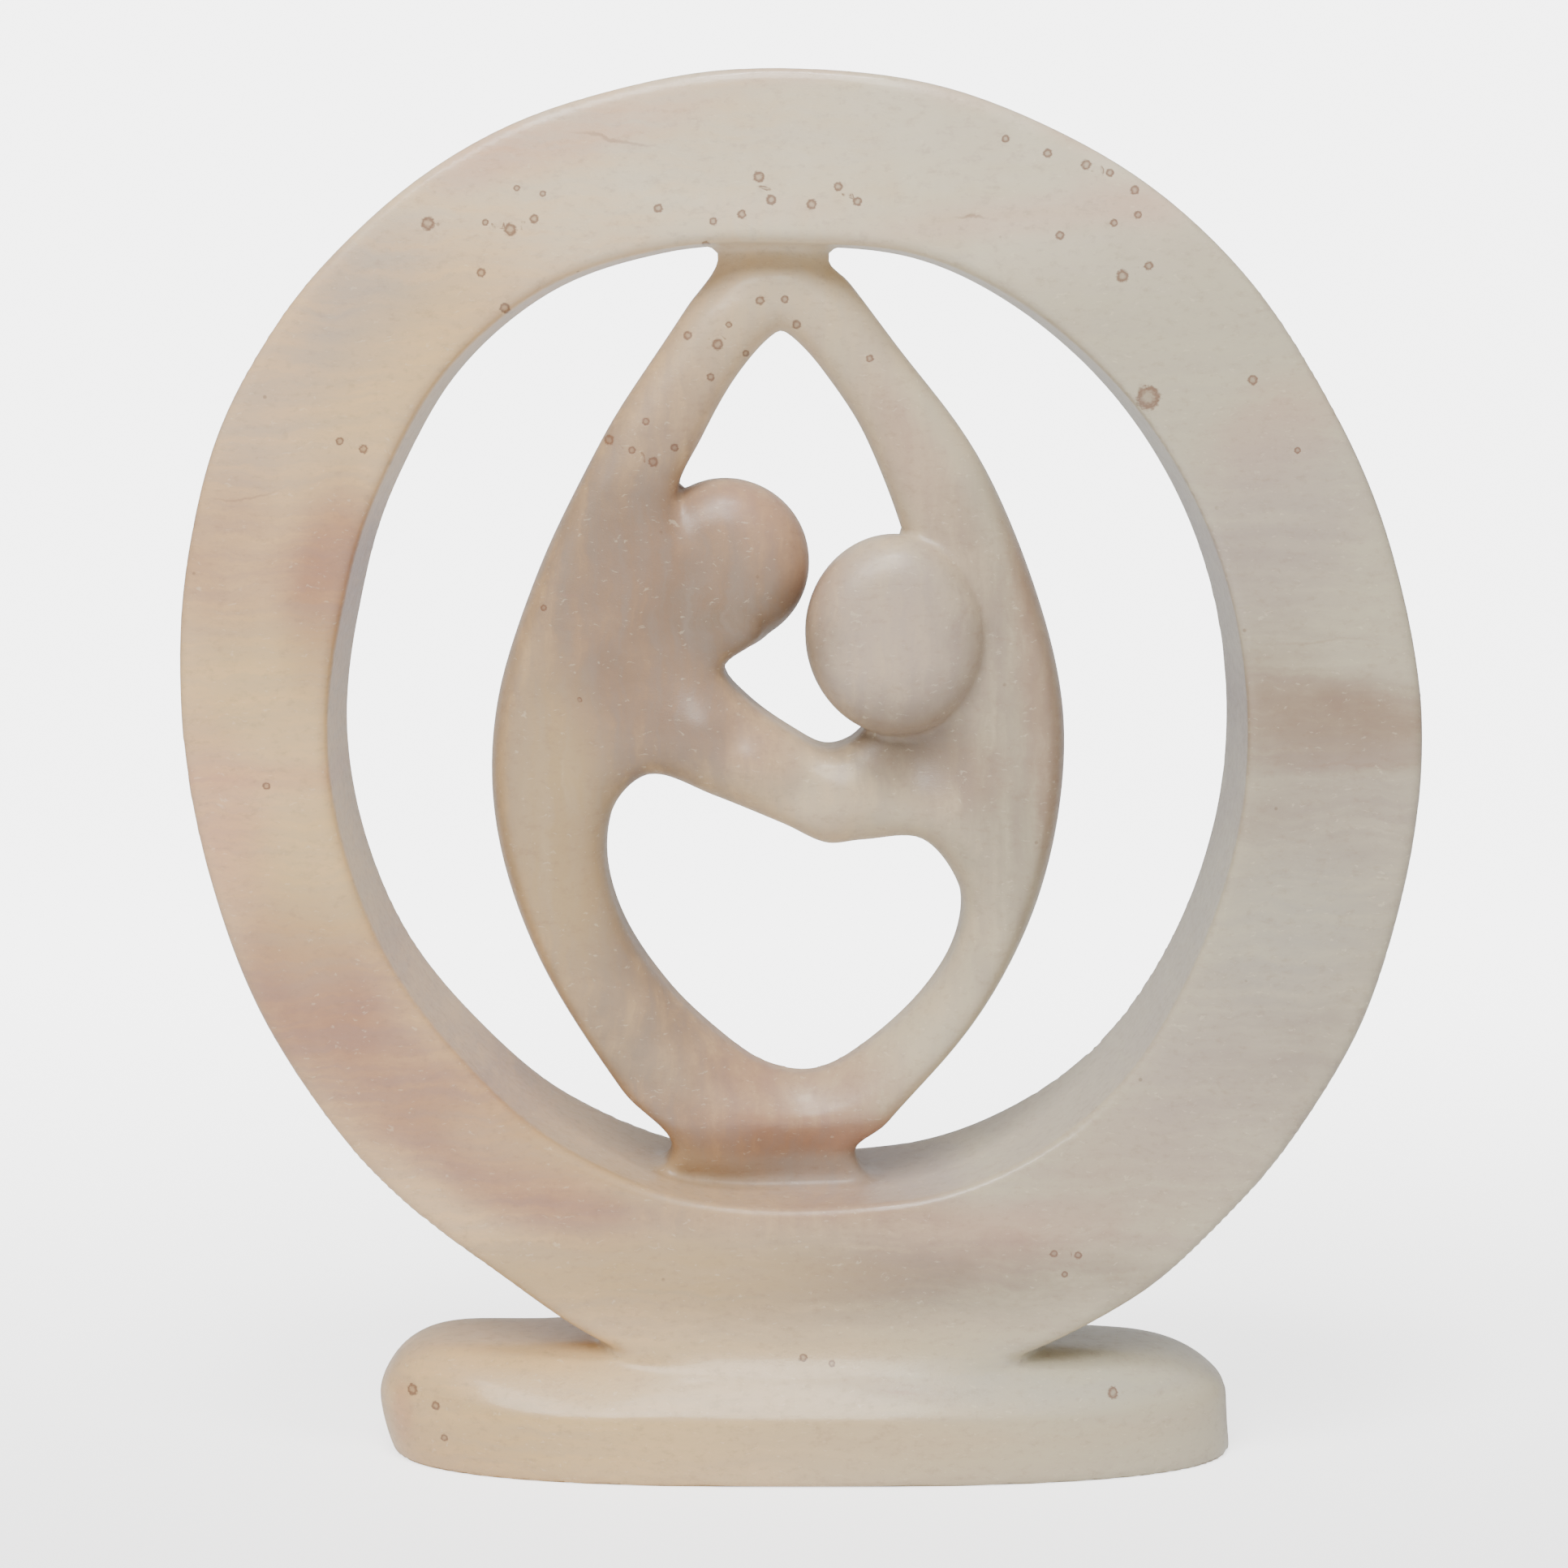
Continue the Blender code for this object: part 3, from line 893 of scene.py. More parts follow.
class Tint(Enum):
    """The colours that lie in the stone, as linear red, green and blue; umber, rose, pink-brown and pale also
    serve as painted shade and light in places.
    """

    CREAM = (0.76, 0.50, 0.255)
    STRAW = (0.68, 0.46, 0.19)
    GREY_GREEN = (0.54, 0.475, 0.335)
    ROSE = (0.60, 0.23, 0.145)
    PINK_BROWN = (0.38, 0.175, 0.095)
    TAN = (0.27, 0.16, 0.10)
    LAVENDER = (0.44, 0.355, 0.295)
    BLUE_GREY = (0.50, 0.50, 0.41)
    PALE = (0.90, 0.80, 0.58)
    UMBER = (0.20, 0.135, 0.085)


@dataclass(frozen=True)
class Stain:
    """A soft oval of one tint that runs through the block from front to back; some of them paint shade and
    light as well as the stone's own colour.
    """

    tint: Tint
    across: float
    up: float
    half_width: float
    half_height: float
    lean: float = 0.0
    softness: float = 0.5
    amount: float = 0.6

    def share(self, x: Array, z: Array) -> Array:
        """How much of the tint lies at each point: amount (1 - step(rho)), rho the oval's distance.

        Args:
            x, z: the points, in millimetres.

        Returns:
            Shares from nothing to the amount.
        """
        turn = math.radians(self.lean)
        along = (x - self.across) * math.cos(turn) + (z - self.up) * math.sin(turn)
        aside = (z - self.up) * math.cos(turn) - (x - self.across) * math.sin(turn)
        rho = np.hypot(along / self.half_width, aside / self.half_height)
        return self.amount * (1 - stepped(rho, 1 - self.softness, 1 + self.softness))


@dataclass(frozen=True)
class Speck:
    """One small mineral bead, cut through by the front face, so that it shows as a ring."""

    across: float
    up: float
    radius: float = 0.75


@dataclass
class StoneMarks:
    """Where the stone's stains and specks lie, with painted shade and light among the stains, and the mesh
    attributes that carry them.
    """

    figures: Outline
    stains: tuple[Stain, ...] = (
        Stain(Tint.ROSE, -38.0, 243.0, 24.0, 5.0, 16.0, 0.6, 0.62),
        Stain(Tint.ROSE, -56.0, 238.5, 9.0, 4.0, 32.0, 0.6, 0.45),
        Stain(Tint.ROSE, -2.0, 253.5, 12.0, 2.4, 0.0, 0.6, 0.50),
        Stain(Tint.ROSE, 28.0, 249.5, 10.0, 2.6, -12.0, 0.6, 0.45),
        Stain(Tint.ROSE, 47.0, 243.0, 9.0, 2.6, -26.0, 0.6, 0.50),
        Stain(Tint.ROSE, 42.0, 228.5, 28.0, 3.2, 6.0, 0.7, 0.45),
        Stain(Tint.ROSE, 57.0, 231.0, 9.0, 3.4, -20.0, 0.6, 0.36),
        Stain(Tint.ROSE, -5.0, 229.0, 14.0, 2.2, 0.0, 0.7, 0.25),
        Stain(Tint.ROSE, -94.0, 128.5, 16.0, 2.4, 0.0, 0.6, 0.40),
        Stain(Tint.ROSE, -103.0, 120.0, 7.0, 18.0, 12.0, 0.6, 0.38),
        # This rose oval at the figures' foot is partly the stone's red-brown and partly a painted warm glow
        # of light through the stone.
        Stain(Tint.ROSE, 9.0, 60.0, 9.0, 2.6, 0.0, 0.8, 0.55),
        Stain(Tint.ROSE, 30.0, 43.0, 22.0, 6.0, 8.0, 0.7, 0.30),
        Stain(Tint.ROSE, -73.5, 10.0, 2.0, 5.0, 0.0, 0.5, 0.60),
        Stain(Tint.ROSE, 84.0, 190.0, 12.0, 8.0, 40.0, 0.7, 0.22),
        Stain(Tint.PINK_BROWN, -84.0, 163.0, 8.0, 19.0, -6.0, 0.5, 0.85),
        Stain(Tint.PINK_BROWN, -101.0, 168.0, 13.0, 15.0, 0.0, 0.6, 0.42),
        Stain(Tint.PINK_BROWN, -88.0, 90.0, 18.0, 13.0, -62.0, 0.5, 0.85),
        Stain(Tint.PINK_BROWN, -76.0, 74.0, 17.0, 12.0, -52.0, 0.5, 0.62),
        Stain(Tint.PINK_BROWN, -54.0, 58.0, 26.0, 9.0, -32.0, 0.5, 0.72),
        Stain(Tint.PINK_BROWN, -16.0, 52.0, 40.0, 7.0, -4.0, 0.5, 0.46),
        Stain(Tint.PINK_BROWN, -22.0, 62.0, 44.0, 7.0, -16.0, 0.6, 0.62),
        # This pink-brown oval at the figures' foot is partly the stone's red-brown and partly a painted warm
        # glow and painted shade under the keel.
        Stain(Tint.PINK_BROWN, 6.0, 61.5, 26.0, 4.0, 0.0, 0.6, 0.66),
        Stain(Tint.PINK_BROWN, -30.0, 153.0, 15.0, 24.0, 6.0, 0.5, 0.72),
        Stain(Tint.PINK_BROWN, -12.0, 166.0, 18.0, 17.0, 0.0, 0.4, 0.70),
        Stain(Tint.PINK_BROWN, -14.0, 137.0, 14.0, 7.0, -32.0, 0.5, 0.50),
        Stain(Tint.PINK_BROWN, -20.0, 84.0, 24.0, 9.0, -58.0, 0.6, 0.48),
        Stain(Tint.PINK_BROWN, 0.0, 70.0, 18.0, 8.0, 0.0, 0.6, 0.48),
        Stain(Tint.PINK_BROWN, -28.0, 183.0, 8.0, 18.0, -28.0, 0.6, 0.35),
        Stain(Tint.PINK_BROWN, 44.0, 148.0, 5.0, 50.0, 6.0, 0.5, 0.52),
        Stain(Tint.PINK_BROWN, 22.0, 182.0, 5.0, 22.0, 28.0, 0.6, 0.34),
        Stain(Tint.PINK_BROWN, 28.0, 128.0, 9.0, 7.0, 0.0, 0.6, 0.32),
        Stain(Tint.PINK_BROWN, -64.0, 8.0, 18.0, 10.0, 0.0, 0.7, 0.30),
        Stain(Tint.PINK_BROWN, 62.0, 56.0, 26.0, 14.0, 40.0, 0.7, 0.26),
        Stain(Tint.PINK_BROWN, 60.0, 229.0, 16.0, 7.0, -30.0, 0.6, 0.16),
        Stain(Tint.TAN, 95.0, 139.0, 20.0, 7.0, -3.0, 0.5, 0.80),
        Stain(Tint.TAN, 98.0, 131.5, 16.0, 2.2, 0.0, 0.6, 0.55),
        Stain(Tint.TAN, 80.0, 146.0, 12.0, 5.0, 10.0, 0.6, 0.30),
        Stain(Tint.TAN, 15.0, 17.5, 12.0, 1.6, -6.0, 0.6, 0.40),
        Stain(Tint.LAVENDER, 84.0, 174.0, 14.0, 16.0, -20.0, 0.6, 0.60),
        Stain(Tint.LAVENDER, 96.0, 122.0, 16.0, 12.0, 0.0, 0.6, 0.45),
        Stain(Tint.LAVENDER, 80.0, 78.0, 24.0, 15.0, 50.0, 0.6, 0.42),
        Stain(Tint.LAVENDER, -77.0, 213.0, 9.0, 15.0, -35.0, 0.6, 0.62),
        Stain(Tint.LAVENDER, -94.0, 192.0, 12.0, 14.0, -25.0, 0.7, 0.28),
        Stain(Tint.LAVENDER, 17.5, 151.0, 17.0, 19.0, 0.0, 0.4, 0.56),
        Stain(Tint.ROSE, 18.0, 152.0, 15.0, 15.0, 0.0, 0.7, 0.16),
        Stain(Tint.LAVENDER, 18.0, 243.0, 22.0, 7.0, -6.0, 0.7, 0.22),
        Stain(Tint.LAVENDER, 2.0, 53.5, 26.0, 3.2, 0.0, 0.6, 0.80),
        Stain(Tint.LAVENDER, -14.0, 240.0, 20.0, 6.0, 4.0, 0.7, 0.30),
        # The umber ovals from here down to the one on the right body are painted shade on the figures. They
        # darken where the ring's top keeps the overhead light off, under the heads and in the hollow below
        # the right head, and are partly the figures' own darker stone too.
        Stain(Tint.UMBER, -36.0, 146.0, 23.0, 50.0, 4.0, 0.5, 0.60),
        Stain(Tint.UMBER, -28.0, 156.0, 15.0, 24.0, 4.0, 0.6, 0.38),
        Stain(Tint.UMBER, -12.0, 159.0, 16.0, 13.0, -20.0, 0.7, 0.62),
        Stain(Tint.UMBER, -7.0, 155.0, 11.0, 7.0, -30.0, 0.8, 0.72),
        Stain(Tint.UMBER, 17.0, 139.5, 14.0, 6.0, 0.0, 0.8, 0.42),
        Stain(Tint.UMBER, -31.0, 188.0, 9.0, 22.0, -28.0, 0.7, 0.34),
        Stain(Tint.UMBER, -38.0, 100.0, 14.0, 42.0, 18.0, 0.7, 0.72),
        Stain(Tint.UMBER, 18.0, 132.5, 12.0, 7.0, 0.0, 0.8, 0.66),
        Stain(Tint.UMBER, 38.0, 138.0, 14.0, 44.0, 2.0, 0.7, 0.46),
        # This umber oval at the figures' foot is painted shade under the keel, partly the stone's own darker
        # colour.
        Stain(Tint.UMBER, -6.0, 57.0, 20.0, 5.0, 0.0, 0.8, 0.30),
        Stain(Tint.UMBER, -6.0, 36.5, 58.0, 7.0, 0.0, 0.8, 0.76),
        Stain(Tint.UMBER, 88.0, 116.0, 22.0, 54.0, 6.0, 0.8, 0.30),
        # This pale band over the top of the ring is partly the stone's cream and partly painted light: it
        # makes the top lighter, as though lit from above.
        Stain(Tint.PALE, 8.0, 240.0, 96.0, 22.0, 0.0, 0.6, 0.48),
        Stain(Tint.STRAW, -92.0, 144.0, 18.0, 13.0, 0.0, 0.6, 0.50),
        Stain(Tint.STRAW, -86.0, 112.0, 13.0, 17.0, -10.0, 0.6, 0.55),
        Stain(Tint.STRAW, -72.0, 200.0, 10.0, 24.0, -38.0, 0.7, 0.50),
        Stain(Tint.STRAW, -30.0, 37.0, 36.0, 7.0, 0.0, 0.7, 0.55),
        Stain(Tint.STRAW, -44.0, 118.0, 9.0, 26.0, 4.0, 0.6, 0.42),
        Stain(Tint.STRAW, -48.0, 10.0, 34.0, 14.0, 0.0, 0.7, 0.50),
        Stain(Tint.STRAW, 0.0, 14.0, 62.0, 12.0, 0.0, 0.7, 0.42),
        Stain(Tint.STRAW, -36.0, 58.0, 26.0, 5.0, -16.0, 0.8, 0.45),
        Stain(Tint.BLUE_GREY, 50.0, 18.0, 30.0, 6.0, 0.0, 0.7, 0.55),
        Stain(Tint.BLUE_GREY, 88.0, 102.0, 14.0, 12.0, 30.0, 0.7, 0.30),
    )
    specks: tuple[Speck, ...] = (
        Speck(-65.9, 226.8, 1.2), Speck(-51.4, 225.7, 1.1), Speck(-47.2, 227.6, 0.8),
        Speck(-55.8, 227.0, 0.6), Speck(-50.2, 232.9, 0.6), Speck(-45.6, 232.0, 0.6),
        Speck(-56.6, 218.2, 0.8), Speck(-52.5, 212.0, 0.9), Speck(-25.3, 229.4, 0.8),
        Speck(-17.0, 223.0, 0.8), Speck(-15.6, 227.2, 0.7), Speck(-10.6, 228.4, 0.8),
        Speck(-7.6, 234.9, 1.0), Speck(-5.4, 230.9, 0.9), Speck(1.7, 230.1, 0.9),
        Speck(6.4, 233.2, 0.8), Speck(9.8, 230.6, 0.8), Speck(35.8, 241.5, 0.7),
        Speck(43.2, 239.0, 0.8), Speck(50.0, 237.0, 0.9), Speck(54.2, 235.6, 0.7),
        Speck(58.6, 232.6, 0.8), Speck(59.2, 228.3, 0.7), Speck(55.0, 226.9, 0.7),
        Speck(45.5, 224.7, 0.8), Speck(56.6, 217.6, 1.1), Speck(61.2, 219.4, 0.8),
        Speck(79.9, 199.4, 0.9), Speck(61.4, 196.3, 2.1), Speck(-34.6, 188.6, 0.9),
        Speck(-30.4, 186.8, 0.7), Speck(-26.6, 184.7, 0.9), Speck(-22.8, 187.2, 0.7),
        Speck(-27.9, 191.9, 0.7), Speck(-7.4, 213.4, 0.8), Speck(-3.0, 213.6, 0.7),
        Speck(-0.9, 209.1, 0.8), Speck(-13.0, 209.1, 0.6), Speck(-20.4, 207.2, 0.8),
        Speck(-15.0, 205.6, 1.0), Speck(-10.0, 204.0, 0.6), Speck(-16.3, 199.8, 0.7),
        Speck(12.2, 203.1, 0.7), Speck(50.4, 41.0, 0.7), Speck(46.0, 41.3, 0.7),
        Speck(48.0, 37.4, 0.6), Speck(-82.0, 188.6, 0.7), Speck(-77.8, 187.2, 0.8),
        Speck(-70.3, 188.4, 0.7), Speck(-46.4, 158.6, 0.6), Speck(-71.6, 14.6, 1.0),
        Speck(-67.0, 12.6, 0.8), Speck(-65.4, 6.8, 0.7), Speck(57.0, 15.5, 0.9),
        Speck(-96.0, 127.0, 0.7), Speck(0.4, 22.2, 0.7),
        Speck(5.6, 21.2, 0.6), Speck(88.0, 187.0, 0.6), Speck(-40.0, 142.0, 0.5),
    )
    speck_reach: float = 6.0
    speck_front: float = -4.0
    grain_edge: Pair = (-3.0, 1.5)

    def tints(self) -> list[Tint]:
        """The tints that have stains, in the order of their first stain."""
        return list(dict.fromkeys(stain.tint for stain in self.stains))

    def paint(self, mesh: bpy.types.Mesh, points: Array) -> None:
        """Writes one attribute for each tint, two for the specks and one for the upright grain.

        A tint's share is 1 - product(1 - share of each of its stains). A speck's attribute is the
        way from its centre to the point in radii, which is exact between points too because it is
        linear; points beyond its reach, or behind the front face, get a far one. Inside the
        figures' outline the share of upright grain is 1.

        Args:
            mesh: the carving's mesh.
            points: its points, in millimetres.
        """
        x, y, z = points.T
        for tint in self.tints():
            bare = np.ones(len(points))
            for stain in self.stains:
                if stain.tint is tint:
                    bare *= 1 - stain.share(x, z)
            layer = mesh.attributes.new(stain_name(tint), "FLOAT", "POINT")
            layer.data.foreach_set("value", (1 - bare).astype(np.float32))
        nearest = np.full(len(points), self.speck_reach)
        away = np.full(len(points), 2 * self.speck_reach)
        offset = np.full((len(points), 3), 2 * self.speck_reach)
        for speck in self.specks:
            across, up = x - speck.across, z - speck.up
            distance = np.hypot(across, up)
            nearer = (distance < nearest) & (y < self.speck_front)
            nearest = np.where(nearer, distance, nearest)
            away = np.where(nearer, distance / speck.radius, away)
            offset[nearer] = np.column_stack([across, 0 * across, up])[nearer] / speck.radius
        layer = mesh.attributes.new("speck offset", "FLOAT_VECTOR", "POINT")
        layer.data.foreach_set("vector", offset.astype(np.float32).ravel())
        layer = mesh.attributes.new("upright grain", "FLOAT", "POINT")
        inside = stepped(self.figures.signed_distance(x, z), *self.grain_edge)
        layer.data.foreach_set("value", (1 - inside).astype(np.float32))
        layer = mesh.attributes.new("speck distance", "FLOAT", "POINT")
        layer.data.foreach_set("value", away.astype(np.float32))


def stain_name(tint: Tint) -> str:
    """The name of the attribute that carries a tint's share."""
    return "stain " + tint.name.lower().replace("_", " ")


class Wiring:
    """Adds nodes to a node tree and joins them, so that a group reads as a list of steps."""

    def __init__(self, tree: bpy.types.NodeTree) -> None:
        """Keeps the tree and counts its columns."""
        self.tree = tree
        self.column = 0

    def node(self, kind: str, **settings: object) -> bpy.types.Node:
        """A new node with its settings, to the right of the last one."""
        made = self.tree.nodes.new(kind)
        made.location = (self.column, 0)
        self.column += 180
        for name, value in settings.items():
            setattr(made, name, value)
        return made

    def feed(self, socket: bpy.types.NodeSocket, value: object) -> None:
        """Joins a socket to another one, or sets its value."""
        if isinstance(value, bpy.types.NodeSocket):
            self.tree.links.new(value, socket)
        else:
            socket.default_value = value

    def math(self, operation: str, *values: object, clamp: bool = False) -> bpy.types.NodeSocket:
        """The result of a Math node."""
        made = self.node("ShaderNodeMath", operation=operation, use_clamp=clamp)
        for socket, value in zip(made.inputs, values):
            self.feed(socket, value)
        return made.outputs[0]

    def vector(self, operation: str, *values: object) -> bpy.types.NodeSocket:
        """The result of a Vector Math node."""
        made = self.node("ShaderNodeVectorMath", operation=operation)
        for socket, value in zip(made.inputs, values):
            self.feed(socket, value)
        return made.outputs["Value" if operation == "LENGTH" else "Vector"]

    def step(
        self, value: object, low: float, high: float, start: float = 0.0, end: float = 1.0
    ) -> bpy.types.NodeSocket:
        """A smooth step of a value from start at low to end at high."""
        made = self.node("ShaderNodeMapRange", interpolation_type="SMOOTHSTEP")
        for socket, number in zip(made.inputs, (value, low, high, start, end)):
            self.feed(socket, number)
        return made.outputs["Result"]

    def attribute(self, name: str) -> bpy.types.Node:
        """An Attribute node that reads one of the mesh's attributes."""
        return self.node("ShaderNodeAttribute", attribute_name=name)

    def placed(self, tree: bpy.types.NodeTree, values: dict[str, object]) -> bpy.types.Node:
        """A node group with its inputs joined or set."""
        made = self.node("ShaderNodeGroup", node_tree=tree)
        for name, value in values.items():
            self.feed(made.inputs[name], value)
        return made

    def noise(self, place: object, scale: float, detail: float, rough: float = 0.5) -> bpy.types.Node:
        """A Noise Texture at a place."""
        made = self.node("ShaderNodeTexNoise")
        self.feed(made.inputs["Vector"], place)
        for name, value in (("Scale", scale), ("Detail", detail), ("Roughness", rough)):
            made.inputs[name].default_value = value
        return made

    def mixed(self, share: object, first: object, second: object) -> bpy.types.NodeSocket:
        """Two colours mixed by a share."""
        made = self.node("ShaderNodeMix", data_type="RGBA")
        self.feed(made.inputs["Factor"], share)
        self.feed(made.inputs[6], first)
        self.feed(made.inputs[7], second)
        return made.outputs[2]


def new_group(
    name: str, inputs: dict[str, str], outputs: dict[str, str]
) -> tuple[Wiring, bpy.types.bpy_prop_collection, bpy.types.bpy_prop_collection]:
    """An empty node group with named sockets.

    Args:
        name: the group's name.
        inputs, outputs: each socket's kind by its name.

    Returns:
        Its wiring, its input node's sockets and its output node's sockets.
    """
    tree = bpy.data.node_groups.new(name, "ShaderNodeTree")
    for sockets, way in ((inputs, "INPUT"), (outputs, "OUTPUT")):
        for title, kind in sockets.items():
            tree.interface.new_socket(title, in_out=way, socket_type=f"NodeSocket{kind}")
    wiring = Wiring(tree)
    return wiring, wiring.node("NodeGroupInput").outputs, wiring.node("NodeGroupOutput").inputs


@dataclass(frozen=True)
class StoneTexture:
    """The stone's own unevenness: how fine each layer of it is, in repeats a millimetre."""

    clouds: float = 0.085
    bending: float = 7.0
    bedding: Place = (0.035, 0.05, 0.42)
    upright: Place = (0.34, 0.2, 0.035)
    mottling: Place = (0.42, 0.5, 0.75)
    flecks: Place = (0.55, 0.9, 1.9)
    grain: Place = (1.6, 2.0, 2.6)
    pins: float = 0.16
    pin_edge: Pair = (0.035, 0.075)
    pins_kept: Pair = (0.55, 0.60)
    pin_zone: Pair = (0.46, 0.56)
    fleck_edge: Pair = (0.655, 0.72)


def stone_texture_group(texture: StoneTexture) -> bpy.types.NodeTree:
    """The unevenness at a place in millimetres: clouds, layers both ways, mottling, flecks and pins.

    Args:
        texture: how fine each layer is.

    Returns:
        The node group.
    """
    wiring, given, result = new_group(
        "Stone texture",
        {"Place": "Vector"},
        {
            "Clouds": "Float", "Bedding": "Float", "Upright": "Float", "Mottling": "Float",
            "Flecks": "Float", "Grain": "Float", "Pins": "Float",
        },
    )
    place = given["Place"]
    clouds = wiring.noise(place, texture.clouds, detail=5.0, rough=0.62)
    bent = wiring.vector("SCALE", wiring.vector("SUBTRACT", clouds.outputs["Color"], (0.5, 0.5, 0.5)))
    bent.node.inputs["Scale"].default_value = texture.bending
    bent_place = wiring.vector("ADD", place, bent)
    beds = wiring.noise(wiring.vector("MULTIPLY", bent_place, texture.bedding), 1.0, detail=6.0, rough=0.62)
    upright = wiring.noise(wiring.vector("MULTIPLY", bent_place, texture.upright), 1.0, detail=5.0, rough=0.6)
    pins = wiring.node("ShaderNodeTexVoronoi", feature="F1")
    wiring.feed(pins.inputs["Vector"], place)
    pins.inputs["Scale"].default_value = texture.pins
    pin_kept = wiring.step(part_of(wiring, pins.outputs["Color"], 0), *texture.pins_kept)
    zone = wiring.step(clouds.outputs["Fac"], *texture.pin_zone)
    pin = wiring.step(pins.outputs["Distance"], *texture.pin_edge, 1.0, 0.0)
    pin = wiring.math("MULTIPLY", pin, pin_kept)
    mottle = wiring.noise(wiring.vector("MULTIPLY", place, texture.mottling), 1.0, detail=4.0, rough=0.7)
    fleck = wiring.noise(wiring.vector("MULTIPLY", bent_place, texture.flecks), 1.0, detail=2.0, rough=0.5)
    grain = wiring.noise(wiring.vector("MULTIPLY", place, texture.grain), 1.0, detail=3.0, rough=0.6)
    wiring.feed(result["Clouds"], clouds.outputs["Fac"])
    wiring.feed(result["Bedding"], beds.outputs["Fac"])
    wiring.feed(result["Mottling"], mottle.outputs["Fac"])
    wiring.feed(result["Flecks"], wiring.step(fleck.outputs["Fac"], *texture.fleck_edge))
    wiring.feed(result["Grain"], grain.outputs["Fac"])
    wiring.feed(result["Upright"], upright.outputs["Fac"])
    wiring.feed(result["Pins"], wiring.math("MULTIPLY", pin, zone))
    return wiring.tree


STAIN_SWING = 4.2
STAIN_FULL = 1.25


def stain_group() -> bpy.types.NodeTree:
    """One tint laid over a colour: its share is broken up by the unevenness where it is middling.

    The share becomes share + swing (unevenness - 0.5) share (full - share), kept between 0 and 1.
    """
    wiring, given, result = new_group(
        "Stain",
        {"Colour": "Color", "Share": "Float", "Unevenness": "Float", "Tint": "Color"},
        {"Colour": "Color"},
    )
    share = given["Share"]
    swing = wiring.math("MULTIPLY", wiring.math("SUBTRACT", given["Unevenness"], 0.5), STAIN_SWING)
    middling = wiring.math("MULTIPLY", share, wiring.math("SUBTRACT", STAIN_FULL, share))
    broken = wiring.math("MULTIPLY_ADD", swing, middling, share, clamp=True)
    wiring.feed(result["Colour"], wiring.mixed(broken, given["Colour"], given["Tint"]))
    return wiring.tree


VEIN_WAVER = 5.0
VEIN_EDGE = (0.3, 1.0)


def vein_group() -> bpy.types.NodeTree:
    """One thin dark line in the stone: a long flat oval, wavered by the unevenness."""
    wiring, given, result = new_group(
        "Vein",
        {
            "Colour": "Color", "Place": "Vector", "Unevenness": "Float", "Centre": "Vector",
            "Half size": "Vector", "Lean": "Float", "Tint": "Color", "Amount": "Float",
        },
        {"Colour": "Color"},
    )
    away = wiring.vector("SUBTRACT", given["Place"], given["Centre"])
    turned = wiring.node("ShaderNodeVectorRotate", rotation_type="Y_AXIS")
    wiring.feed(turned.inputs["Vector"], away)
    wiring.feed(turned.inputs["Angle"], given["Lean"])
    waver = wiring.math("MULTIPLY", wiring.math("SUBTRACT", given["Unevenness"], 0.5), VEIN_WAVER)
    shift = wiring.node("ShaderNodeCombineXYZ")
    wiring.feed(shift.inputs["Z"], waver)
    place = wiring.vector("ADD", turned.outputs["Vector"], shift.outputs["Vector"])
    rho = wiring.vector("LENGTH", wiring.vector("DIVIDE", place, given["Half size"]))
    share = wiring.math("MULTIPLY", wiring.step(rho, *VEIN_EDGE, 1.0, 0.0), given["Amount"])
    wiring.feed(result["Colour"], wiring.mixed(share, given["Colour"], given["Tint"]))
    return wiring.tree


@dataclass(frozen=True)
class SpeckLook:
    """How a bead looks, with its stretches in shares of its radius."""

    rim: Pair = (0.8, 1.2)
    middle: Pair = (0.25, 0.75)
    middle_share: float = 0.45
    nearby: Pair = (1.6, 2.2)
    waver: float = 0.9
    amount: float = 0.82
    colour: Colour = (0.17, 0.075, 0.04)


def speck_group(look: SpeckLook) -> bpy.types.NodeTree:
    """The mineral beads: a brown rim round a paler middle, from the way to the nearest bead.

    Args:
        look: how a bead looks.

    Returns:
        The node group.
    """
    wiring, given, result = new_group(
        "Specks",
        {"Colour": "Color", "Offset": "Vector", "Distance": "Float", "Unevenness": "Float"},
        {"Colour": "Color", "Share": "Float"},
    )
    rho = wiring.vector("LENGTH", given["Offset"])
    rho = wiring.math("MULTIPLY_ADD", wiring.math("SUBTRACT", given["Unevenness"], 0.5), look.waver, rho)
    outside = wiring.step(rho, *look.rim, 1.0, 0.0)
    hollow = wiring.step(rho, *look.middle, look.middle_share, 1.0)
    near = wiring.step(given["Distance"], *look.nearby, 1.0, 0.0)
    share = wiring.math("MULTIPLY", wiring.math("MULTIPLY", outside, hollow), near)
    share = wiring.math("MULTIPLY", share, look.amount)
    wiring.feed(result["Colour"], wiring.mixed(share, given["Colour"], (*look.colour, 1)))
    wiring.feed(result["Share"], share)
    return wiring.tree


@dataclass(frozen=True)
class Vein:
    """A thin dark line: its centre, half length and half thickness in millimetres, and its lean."""

    across: float
    up: float
    half_length: float
    half_thickness: float
    lean: float
    amount: float
    tint: Colour = (0.30, 0.17, 0.11)


